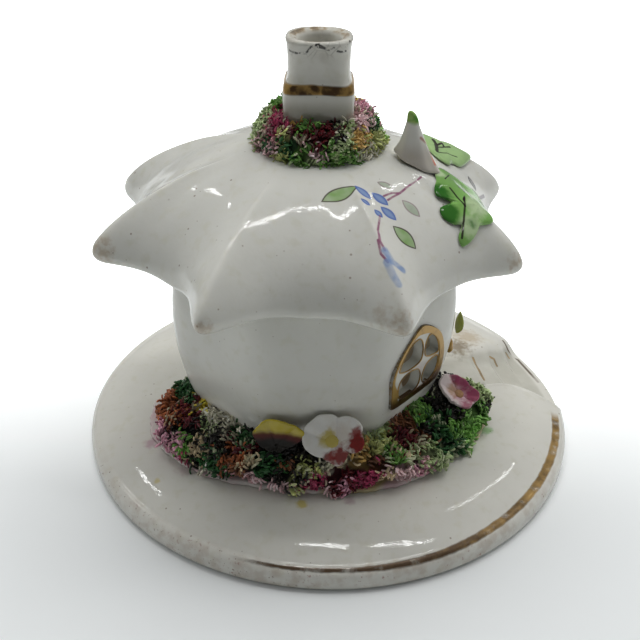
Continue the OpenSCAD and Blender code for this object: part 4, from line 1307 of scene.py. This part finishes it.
def stand_finish(stand):
    f = glaze("stand_glaze", CREAM)
    x, y, z = f.axis("X"), f.axis("Y"), f.axis("Z")
    turn = math.radians(PATH_TURN)
    along = (x - COTTAGE_X * MM) * math.cos(turn) + y * math.sin(turn)
    radius = f.radius()
    wear = f.noise(130, 3)
    # Painted shade and dirt on the path, which lies lower than the dome of the stand, under the wall and roof
    over = f.fade(radius, SEAT_FLAT_R, STAND_R)
    sunk = f.fade(SEAT_Z * MM - over * (DOME_DROP * MM) - z, 0.4, 1.4) * f.fade(along, 25.5, 28.5)
    f.lay(PATH_SHADE_AND_DIRT, sunk * f.fade(radius, 54.5, 53.5) * f.ramp(wear, 0.3, 0.6, 0.6, 0.95))
    f.lay(OLD_GILT, f.stroke(stand, PATH_END, 0.35, 0.3) * f.ramp(wear, 0.35, 0.55, 0.4, 0.85))
    # Dirt settles in the glaze towards the rim, most of all in front
    rim = f.fade(radius, 52.5, 55.2)
    grime = rim * f.fade(y, -10, -50)
    f.lay(GRIME, grime * f.ramp(f.noise(420, 4), 0.4, 0.7) * 0.45)
    f.lay(RUST_STAIN, grime * f.ramp(f.noise(1300, 4), 0.62, 0.7) * f.ramp(wear, 0.4, 0.6) * 0.6)
    grains = f.ramp(f.noise(1500, 2), 0.66, 0.72) * f.fade(radius, 53.5, 54.8) * f.fade(x, 10, -20)
    f.lay(DIRT, grains * f.fade(y, 0, -30) * 0.8)
    for pixel, reach, soft, tint, strength in SMEARS:
        f.lay(tint, f.spot(stand, pixel, reach, soft, 0.7) * strength)
    # The gilt line is thin and dark in front, and broad on the right
    middle = f.fade(x, 15, 50, (STAND_R - 1.3) * MM, (STAND_R - 2.4) * MM)
    half = f.fade(x, -18, 45, 0.1 * MM, 0.65 * MM)
    line = f.fade(abs(radius - middle) - half + (f.noise(500, 3) - 0.5) * (0.4 * MM), 0, 0.4, 1, 0)
    kept = f.fade(x, -20, -10) * f.fade(y, -4, -8) * f.fade(z, 2.8, 3.4)
    gilt = line * kept * f.ramp(f.noise(300, 3), 0.3, 0.48, 0.45, 0.95)
    for step in STEP_LINES:
        gilt = gilt.most(f.stroke(stand, step, 0.35, 0.2) * 0.8)
    gild(f, gilt, f.fade(x, 18, 36, 1, 0.42))
    return [f.done()]


# Scuffs of soot on the pot, and tarnish and edges of the gilt band round it, in pixels of the photograph
SCUFFS = [
    [(307, 52), (311, 47), (316, 45), (321, 46), (327, 49), (334, 48)], [(312, 46), (319, 44)],
    [(318, 47), (330, 50)], [(337, 51), (341, 52), (346, 51)], [(289, 50), (296, 53), (306, 53)],
    [(346, 47), (350, 41)],
]
BAND_TARNISH = [[(295, 91), (304, 91), (314, 92)], [(327, 92), (337, 91), (347, 91)]]
BAND_TOP, BAND_FOOT = (322, 86), (322, 96)
# Radius of the gilt line on the pot's rim
RIM_LINE_R = 5.2
STACK, POT_STAIN, STACK_SHADE_AND_GRIME = (0.66, 0.65, 0.585), (0.36, 0.33, 0.27), (0.30, 0.28, 0.21)
CRAZING, SOOT = (0.16, 0.13, 0.10), (0.03, 0.028, 0.025)


def chimney_finish(chimney):
    f = glaze("chimney_glaze", STACK)
    z = f.axis("Z")
    rough = f.noise(1500, 3)
    stain = f.ramp(f.noise(260, 4), 0.45, 0.7) * f.fade(z, CHIMNEY_TOP - 7, CHIMNEY_TOP - 1)
    f.lay(POT_STAIN, stain * 0.55)
    # Darker below the gilt band: painted shade and grime on the stack
    f.lay(STACK_SHADE_AND_GRIME, f.fade(z, CROWN_Z + 11.5, CROWN_Z + 8.5, 0, 0.75))
    cells = {"Vector": f.place, "Scale": 420}
    crack = f.node("ShaderNodeTexVoronoi", {"feature": "DISTANCE_TO_EDGE"}, cells, "Distance")
    crazed = f.fade(z, CHIMNEY_TOP - 3.6, CHIMNEY_TOP - 2) * f.ramp(f.noise(200), 0.45, 0.6)
    f.lay(CRAZING, f.ramp(crack, 0.0, 0.045, 1, 0) * crazed * 0.35)
    for scuff in SCUFFS:
        mark = f.stroke(chimney, scuff, 0.12, 0.28) * f.ramp(rough, 0.4, 0.52)
        f.lay(SOOT, mark * 0.95)
    top, bottom = height_at(BAND_TOP, chimney), height_at(BAND_FOOT, chimney)
    wave = (f.noise(150) - 0.5) * (0.9 * MM)
    band = f.fade(z + wave, bottom - 0.2, bottom + 0.2) * f.fade(z + wave, top - 0.2, top + 0.2, 1, 0)
    off_line = abs(f.radius(CHIMNEY_X) - RIM_LINE_R * MM)
    rim = f.fade(z, CHIMNEY_TOP - 0.9, CHIMNEY_TOP - 0.3) * f.fade(off_line, 0.3, 0.9, 1, 0)
    rim = rim * f.ramp(f.noise(330, 3), 0.42, 0.58, 0.05, 0.8) * f.fade(f.axis("Y"), -3, 4, 0.45, 1)
    tarnish = rim * 0.5
    for tarnished in BAND_TARNISH:
        patch = f.stroke(chimney, tarnished, 1.3, 1.1) * f.ramp(f.noise(420, 3), 0.38, 0.6, 0.45, 1)
        tarnish = tarnish.most(patch)
    gild(f, band.most(rim), f.ramp(tarnish, 0, 1, 0.25, 0.95))
    return [f.done()]


def window_finish(az):
    """Finishes of a window: its white bars, and the gilding of its frame and of the edges of its panes."""
    f = glaze(f"window_glaze_{az}", PORCELAIN, 0.4, **CLEAR)
    gilt = Finish(f"window_gilt_{az}", Metallic=0.45, Roughness=0.28)
    # The gilding darkens towards the sill, a painted dark reflection, and in patches of tarnish
    height = gilt.axis("Z") + (gilt.noise(300, 2) - 0.5) * (4 * MM)
    low = gilt.fade(height, WINDOW_Z + 5.5, WINDOW_Z + 1.5)
    patches = gilt.ramp(gilt.noise(260, 3), 0.45, 0.65) * 0.6
    gilt.body = gilt.blend(GOLD, GOLD_DARK, low.most(patches))
    return [f.done(), gilt.done()]


def wall_finish():
    """The wall glows a little on its inside with the light that comes through it."""
    f = glaze("wall_glaze", PORCELAIN, **CLEAR, **{"Emission Strength": 0.11})
    inside = f.fade(f.radius(COTTAGE_X), 29, 28)
    f.feed("Emission Color", f.blend(BLACK, WALL_GLOW, inside))
    return [f.done()]


def plain_finish(name, tint):
    return [glaze(name, tint).done()]


BED_CLAY, BED_PINK, BED_OCHRE = (0.66, 0.62, 0.58), (0.56, 0.36, 0.39), (0.46, 0.40, 0.12)


def bed_finish():
    """White clay stained by the colours that ran down from the moss."""
    f = glaze("bed_glaze", BED_CLAY)
    f.lay(BED_PINK, f.ramp(f.noise(110, 3), 0.45, 0.62) * 0.7)
    f.lay(BED_OCHRE, f.ramp(f.noise(85, 2), 0.56, 0.66) * 0.7)
    return [f.done()]


def moss_finish():
    f = Finish("moss_enamel", IOR=1.5)
    f.body = f.node("ShaderNodeAttribute", {"attribute_name": "tint"}, None, "Color")
    gloss = f.node("ShaderNodeAttribute", {"attribute_name": "gloss"}, None, "Fac")
    f.feed("Roughness", f.ramp(gloss, 0, 1, 0.95, 0.36))
    return [f.done()]


def petal_finish(name, piece, tint, dabs):
    """Enamelled petals: dabs give a pixel of the photograph, reach, softness, colour and strength."""
    f = glaze(name, tint, 0.5)
    for pixel, reach, soft, paint, strength in dabs:
        f.lay(paint, f.spot(piece, pixel, reach, soft, 0.8) * strength)
    return [f.done()]


# Flowers, in pixels of the photograph: edge, ends of the folds between petals, and dabs of enamel
WHITE_EDGE = [
    (302, 442), (304, 428), (312, 420), (318, 415), (327, 414), (335, 415), (338, 418), (343, 416),
    (352, 417), (359, 421), (363, 427), (362, 434), (365, 443), (362, 450), (357, 453), (349, 453),
    (347, 457), (342, 465), (337, 467), (330, 463), (322, 458), (312, 455), (304, 448),
]
WHITE_FOLDS = [(338, 417), (363, 433), (349, 453), (321, 459), (303, 431)]
WHITE = (0.70, 0.69, 0.65)
RED = (0.20, 0.012, 0.008)
WHITE_DABS = [
    ((342, 436), 1.2, 2.6, (0.54, 0.46, 0.38), 0.5), ((357, 433), 0.5, 1.3, RED, 0.92),
    ((359, 444), 1.5, 1.5, RED, 1), ((329, 458), 0.5, 1.5, RED, 0.9), ((340, 456), 1.0, 1.7, RED, 0.95),
    ((328, 439), 0.9, 1.6, (0.46, 0.37, 0.07), 0.9),
]
PINK_EDGE = [
    (453, 374), (460, 376), (466, 380), (470, 384), (475, 388), (479, 392), (480, 397), (477, 401),
    (473, 404), (470, 408), (465, 408), (458, 405), (451, 400), (445, 394), (441, 387), (440, 380),
    (443, 375), (448, 373),
]
PINK_FOLDS = [(471, 385), (475, 402), (452, 401), (441, 384), (451, 374)]
PINK = (0.68, 0.59, 0.58)
ROSE = (0.33, 0.055, 0.12)
PINK_DABS = [
    ((464, 391), 1.5, 3.0, (0.52, 0.26, 0.31), 0.8), ((456, 377), 0.6, 1.3, ROSE, 0.85),
    ((463, 381), 1.0, 1.4, ROSE, 0.92), ((475, 395), 1.1, 1.6, ROSE, 0.95),
    ((468, 388), 0.5, 1.8, ROSE, 0.6), ((467, 405), 0.5, 1.8, ROSE, 0.8),
    ((452, 391), 0.6, 1.5, (0.42, 0.26, 0.13), 0.7),
]
YELLOW_EDGE = [
    (257, 427), (262, 422), (270, 420), (280, 421), (290, 425), (300, 430), (305, 433), (303, 439),
    (295, 445), (285, 449), (275, 451), (265, 449), (256, 441), (252, 433),
]
YELLOW_FOLDS = [(266, 421), (296, 428)]
YELLOW, MAROON = (0.52, 0.42, 0.04), (0.085, 0.012, 0.009)
# Where the yellow flower turns maroon, and then black: painted shadow at its foot
MAROON_FROM, BLACK_FROM = (280, 434), (280, 440)


def yellow_finish(piece):
    f = glaze("yellow_petals", YELLOW, 0.3)
    height = f.axis("Z") + (f.noise(250) - 0.5) * (1.6 * MM)
    line, foot = height_at(MAROON_FROM, piece), height_at(BLACK_FROM, piece)
    low = f.fade(height, line + 0.9, line - 0.6)
    f.lay(MAROON, low)
    # Painted shadow at the flower's foot
    f.lay(PALETTE["black_and_shadow"], f.fade(height, foot + 0.8, foot - 0.4))
    f.feed("Roughness", f.ramp(low, 0, 1, GLOSS, 0.7))
    return [f.done()]


# Trumpet bloom, in pixels of the photograph, and its tints
BLOOM_RIM = [(421, 138), (427, 145), (433, 153)]
BLOOM_MOUTH = [(431, 153), (435, 158), (438, 162)]
BLOOM_FOOT, BLOOM_NECK, BLOOM_TIP = (418, 158), (409, 124), (409, 113)
BLOOM, BLOOM_SHADE = (0.80, 0.79, 0.73), (0.42, 0.34, 0.27)
RIM_RED, MOUTH_RED = (0.34, 0.09, 0.06), (0.62, 0.14, 0.08)
BUD_GREEN, BUD_LIGHT = (0.12, 0.30, 0.05), (0.30, 0.46, 0.12)


def bloom_finish(piece):
    f = glaze("bloom_glaze", BLOOM, 0.4)
    z = f.axis("Z")
    low = height_at(BLOOM_FOOT, piece)
    # Painted shadow on the bloom near its foot
    f.lay(BLOOM_SHADE, f.fade(z, low + 3.5, low) * 0.45)
    f.lay(RIM_RED, f.stroke(piece, BLOOM_RIM, 0.15, 0.4) * 0.75)
    f.lay(MOUTH_RED, f.stroke(piece, BLOOM_MOUTH, 0.45, 0.5) * 0.9)
    neck, tip = height_at(BLOOM_NECK, piece), height_at(BLOOM_TIP, piece)
    green = f.blend(BUD_GREEN, BUD_LIGHT, f.ramp(f.noise(500), 0.4, 0.6))
    f.lay(green, f.fade(z + (f.noise(300) - 0.5) * (2 * MM), neck, mix(neck, tip, 0.4)))
    return [f.done()]


# Leaves on the roof: tints, dabs with their reach and softness, and veins with their width
LEAF_LIGHT = (0.22, 0.45, 0.11)
LEAF_PALE = (0.36, 0.54, 0.23)
LEAF_WORN = (0.50, 0.60, 0.38)
LEAF_DEEP = (0.022, 0.13, 0.010)
VEIN = (0.018, 0.010, 0.010)
FRONT_DEEP = [((436, 189), 0.9, 1.6), ((441, 195), 1.3, 1.5), ((447, 212), 1.9, 1.5), ((456, 236), 0.5, 1.4)]
FRONT_PALE = [((471, 226), 1.2, 2.4), ((438, 173), 0.8, 1.4), ((477, 206), 1.4, 2.2), ((472, 196), 0.6, 1.6)]
FRONT_VEINS = [
    ([(463, 189), (464, 199), (465, 206), (464, 218), (462, 238)], 0.28),
    ([(459, 187), (463, 189), (464, 200)], 0.42), ([(450, 188), (457, 197), (465, 206)], 0.24),
    ([(461, 185), (466, 190), (472, 198)], 0.1), ([(445, 179), (449, 175)], 0.1),
]
BACK_VEINS = [
    ([(437, 152), (447, 153), (457, 157)], 0.12), ([(435, 137), (436, 144), (437, 151)], 0.75),
    ([(437, 145), (442, 143), (447, 142)], 0.4), ([(438, 147), (444, 147), (450, 147)], 0.25),
]


def leaf_finish(name, piece, tint, deep, pale, veins):
    f = glaze(name, tint, 0.2)
    f.lay(tuple(c * 0.7 for c in tint), f.ramp(f.noise(160, 2), 0.4, 0.65) * 0.8)
    for pixel, reach, soft in pale:
        f.lay(LEAF_WORN, f.spot(piece, pixel, reach, soft) * 0.75)
    for pixel, reach, soft in deep:
        f.lay(LEAF_DEEP, f.spot(piece, pixel, reach, soft) * 0.95)
    for vein, width in veins:
        f.lay(VEIN, f.stroke(piece, vein, width, 0.2) * 0.92)
    return [f.done()]


CHARCOAL, ASH = (0.018, 0.017, 0.016), (0.055, 0.05, 0.047)


def pastille_finish():
    f = Finish("pastille_charcoal", Roughness=0.9)
    grain = f.noise(900, 4)
    f.bump(grain, 0.15)
    f.body = f.blend(CHARCOAL, ASH, f.ramp(grain, 0.4, 0.7))
    return [f.done()]


# Light and floor

# Lamps: place and size in metres, power, spin about their own axis, and whether the glaze shows them
LAMPS = {
    "overhead": ((0.06, 0.40, 0.9), (1.3, 0.6), 8.7, 0, False),
    "right_fill": ((0.9, 0.15, 0.5), (0.6, 0.5), 1.5, 0, False),
    "left_fill": ((-0.9, 0.1, 0.5), (0.6, 0.5), 1.6, 0, False),
    "ceiling_strip": ((0.07, 0.15, 0.9), (0.56, 0.022), 0.75, 18, True),
    "left_lamp": ((-0.62, 0.54, 0.9), (0.16, 0.025), 0.2, 70, True),
    "right_lamp": ((0.46, 0.62, 0.9), (0.30, 0.016), 0.2, 78, True),
}
LAMPS_AIM = Vector((0, 0, 0.04))
WORLD_TINT, WORLD_STRENGTH = (0.96, 0.98, 1, 1), 0.16


def add_lamp(name, place, size, power, spin, reflected):
    data = bpy.data.lights.new(name, "AREA")
    data.shape = "RECTANGLE"
    data.size, data.size_y = size
    data.energy = power
    lamp = bpy.data.objects.new(name, data)
    lamp.location = place
    turn = (LAMPS_AIM - Vector(place)).to_track_quat("-Z", "Y") @ Quaternion((0, 0, 1), math.radians(spin))
    lamp.rotation_euler = turn.to_euler()
    lamp.visible_glossy = reflected
    bpy.context.scene.collection.objects.link(lamp)


def make_light():
    """Soft lamps, and a world that is plain white where the camera sees it."""
    for name, lamp in LAMPS.items():
        add_lamp(name, *lamp)
    world = bpy.data.worlds.new("studio")
    world.use_nodes = True
    tree = world.node_tree
    background = tree.nodes["Background"]
    background.inputs["Color"].default_value = WORLD_TINT
    background.inputs["Strength"].default_value = WORLD_STRENGTH
    white = tree.nodes.new("ShaderNodeBackground")
    white.inputs["Color"].default_value = (1, 1, 1, 1)
    path = tree.nodes.new("ShaderNodeLightPath")
    choice = tree.nodes.new("ShaderNodeMixShader")
    tree.links.new(path.outputs["Is Camera Ray"], choice.inputs[0])
    tree.links.new(background.outputs[0], choice.inputs[1])
    tree.links.new(white.outputs[0], choice.inputs[2])
    tree.links.new(choice.outputs[0], tree.nodes["World Output"].inputs[0])
    bpy.context.scene.world = world


# Tint of the floor, then its size and place in metres
FLOOR = (0.82, 0.845, 0.845, 1)
FLOOR_SIZE, FLOOR_AT = 2.4, (0, 0.85, -0.0001)


def make_floor():
    """A pale floor that fades to white behind the object."""
    deselect()
    bpy.ops.mesh.primitive_plane_add(size=FLOOR_SIZE, location=FLOOR_AT)
    floor = added("floor")
    bpy.ops.object.transform_apply(location=True)
    f = Finish("pale_floor", Roughness=0.6)
    f.shader.inputs["Base Color"].default_value = FLOOR
    f.shader.inputs["Emission Strength"].default_value = 1
    ray = f.node("ShaderNodeLightPath", out="Is Camera Ray")
    back = f.fade(f.axis("Y"), -50, 100)
    f.feed("Emission Color", f.blend(BLACK, (1, 1, 1), ray * back))
    floor.data.materials.append(f.material)


# Pieces

# Tints of pieces that have only one
DOOR, CLIMBER_GREEN, CLIMBER_AMBER = (0.55, 0.42, 0.28), (0.30, 0.33, 0.06), (0.42, 0.24, 0.05)
WHITE_EYE, PINK_EYE = (0.48, 0.39, 0.09), (0.42, 0.24, 0.12)

rng = np.random.default_rng(11)
stand = make_stand()
wall = make_wall()
roof = make_roof()
chimney = make_chimney()
settle(stand, stand_finish(stand), "stand", "porcelain", "stand")
settle(make_pastille(), pastille_finish(), "stand", "pastille", "pastille")
settle(wall, wall_finish(), "cottage", "porcelain", "cottage_wall")
settle(roof, roof_finish(roof), "cottage", "porcelain", "roof")
settle(chimney, chimney_finish(chimney), "cottage", "porcelain", "chimney")
for node, az in WINDOW_AZ.items():
    looks = window_finish(az)
    settle(make_window(node + "_lattice", az, looks), looks, "cottage", "gilt_porcelain", node)
settle(make_door(), plain_finish("door_glaze", DOOR), "cottage", "gilt_porcelain", "door")

strand = make_strand()
moss_look = moss_finish()
bed_look = bed_finish()
for node, span in BED_SPANS.items():
    settle(make_bed(node, span), bed_look, "cottage", "porcelain", node)
# Threads for each degree, their length, and the share of tufts with pale tips: bare clay and painted glint
for surface, spans, dense, length, bare in (
        (wall_moss, MOSS_SPANS, 50, 2.0, 0.09), (chimney_moss, CHIMNEY_MOSS_SPANS, 16, 1.6, 0.13)):
    for node, span in spans.items():
        count = round((span[1] - span[0]) * dense)
        threads = make_moss(node + "_threads", surface, span, count, length, bare, rng, strand)
        settle(threads, moss_look, "cottage", "moss", node)

# Frames of the flowers: azimuth, radius and height, then where the face looks and its tilt
white_at, pink_at = flower_frame(279.5, 33.2, 17.4, 272, 34), flower_frame(337.6, 35.4, 16, 298, 52)
yellow_at = flower_frame(258, 32.6, 16, 264, 12)
white = make_flower("white_petals", white_at, WHITE_EDGE, WHITE_FOLDS, 1.0)
settle(white, petal_finish("white_enamel", white, WHITE, WHITE_DABS), "cottage", "flower", "white_flower")
white_eye = white_at @ Matrix.Translation((-0.4, -0.9, 0.3))
settle(make_eye("white_stamens", white_eye, 1.4, 0.45), plain_finish("white_eye", WHITE_EYE),
       "cottage", "flower", "white_flower_eye")
pink = make_flower("pink_petals", pink_at, PINK_EDGE, PINK_FOLDS, 1.7)
settle(pink, petal_finish("pink_enamel", pink, PINK, PINK_DABS), "cottage", "flower", "pink_flower")
pink_eye = pink_at @ Matrix.Translation((0, 0, 0.3))
settle(make_eye("pink_stamens", pink_eye, 1.1, 0.6), plain_finish("pink_eye", PINK_EYE),
       "cottage", "flower", "pink_flower_eye")
yellow = make_flower("yellow_petals", yellow_at, YELLOW_EDGE, YELLOW_FOLDS, 0.9)
settle(yellow, yellow_finish(yellow), "cottage", "flower", "yellow_flower")
bloom = make_bloom()
settle(bloom, bloom_finish(bloom), "cottage", "flower", "roof_bud")
front_leaf = make_leaf("front_leaf", FRONT_LEAF_AT, FRONT_LEAF)
front_look = leaf_finish("front_leaf_enamel", front_leaf, LEAF_LIGHT, FRONT_DEEP, FRONT_PALE, FRONT_VEINS)
settle(front_leaf, front_look, "cottage", "leaf", "roof_leaf_front")
back_leaf = make_leaf("back_leaf", BACK_LEAF_AT, BACK_LEAF, raised=0.9)
back_look = leaf_finish("back_leaf_enamel", back_leaf, LEAF_PALE, [], [], BACK_VEINS)
settle(back_leaf, back_look, "cottage", "leaf", "roof_leaf_back")
settle(make_climber_leaf(), plain_finish("climber_green", CLIMBER_GREEN), "cottage", "leaf", "climber_leaf")
climber_look = plain_finish("climber_amber", CLIMBER_AMBER)
settle(make_climber_bloom(), climber_look, "cottage", "flower", "climber_bloom")

make_light()
make_floor()
bpy.context.scene.view_settings.view_transform = "Standard"
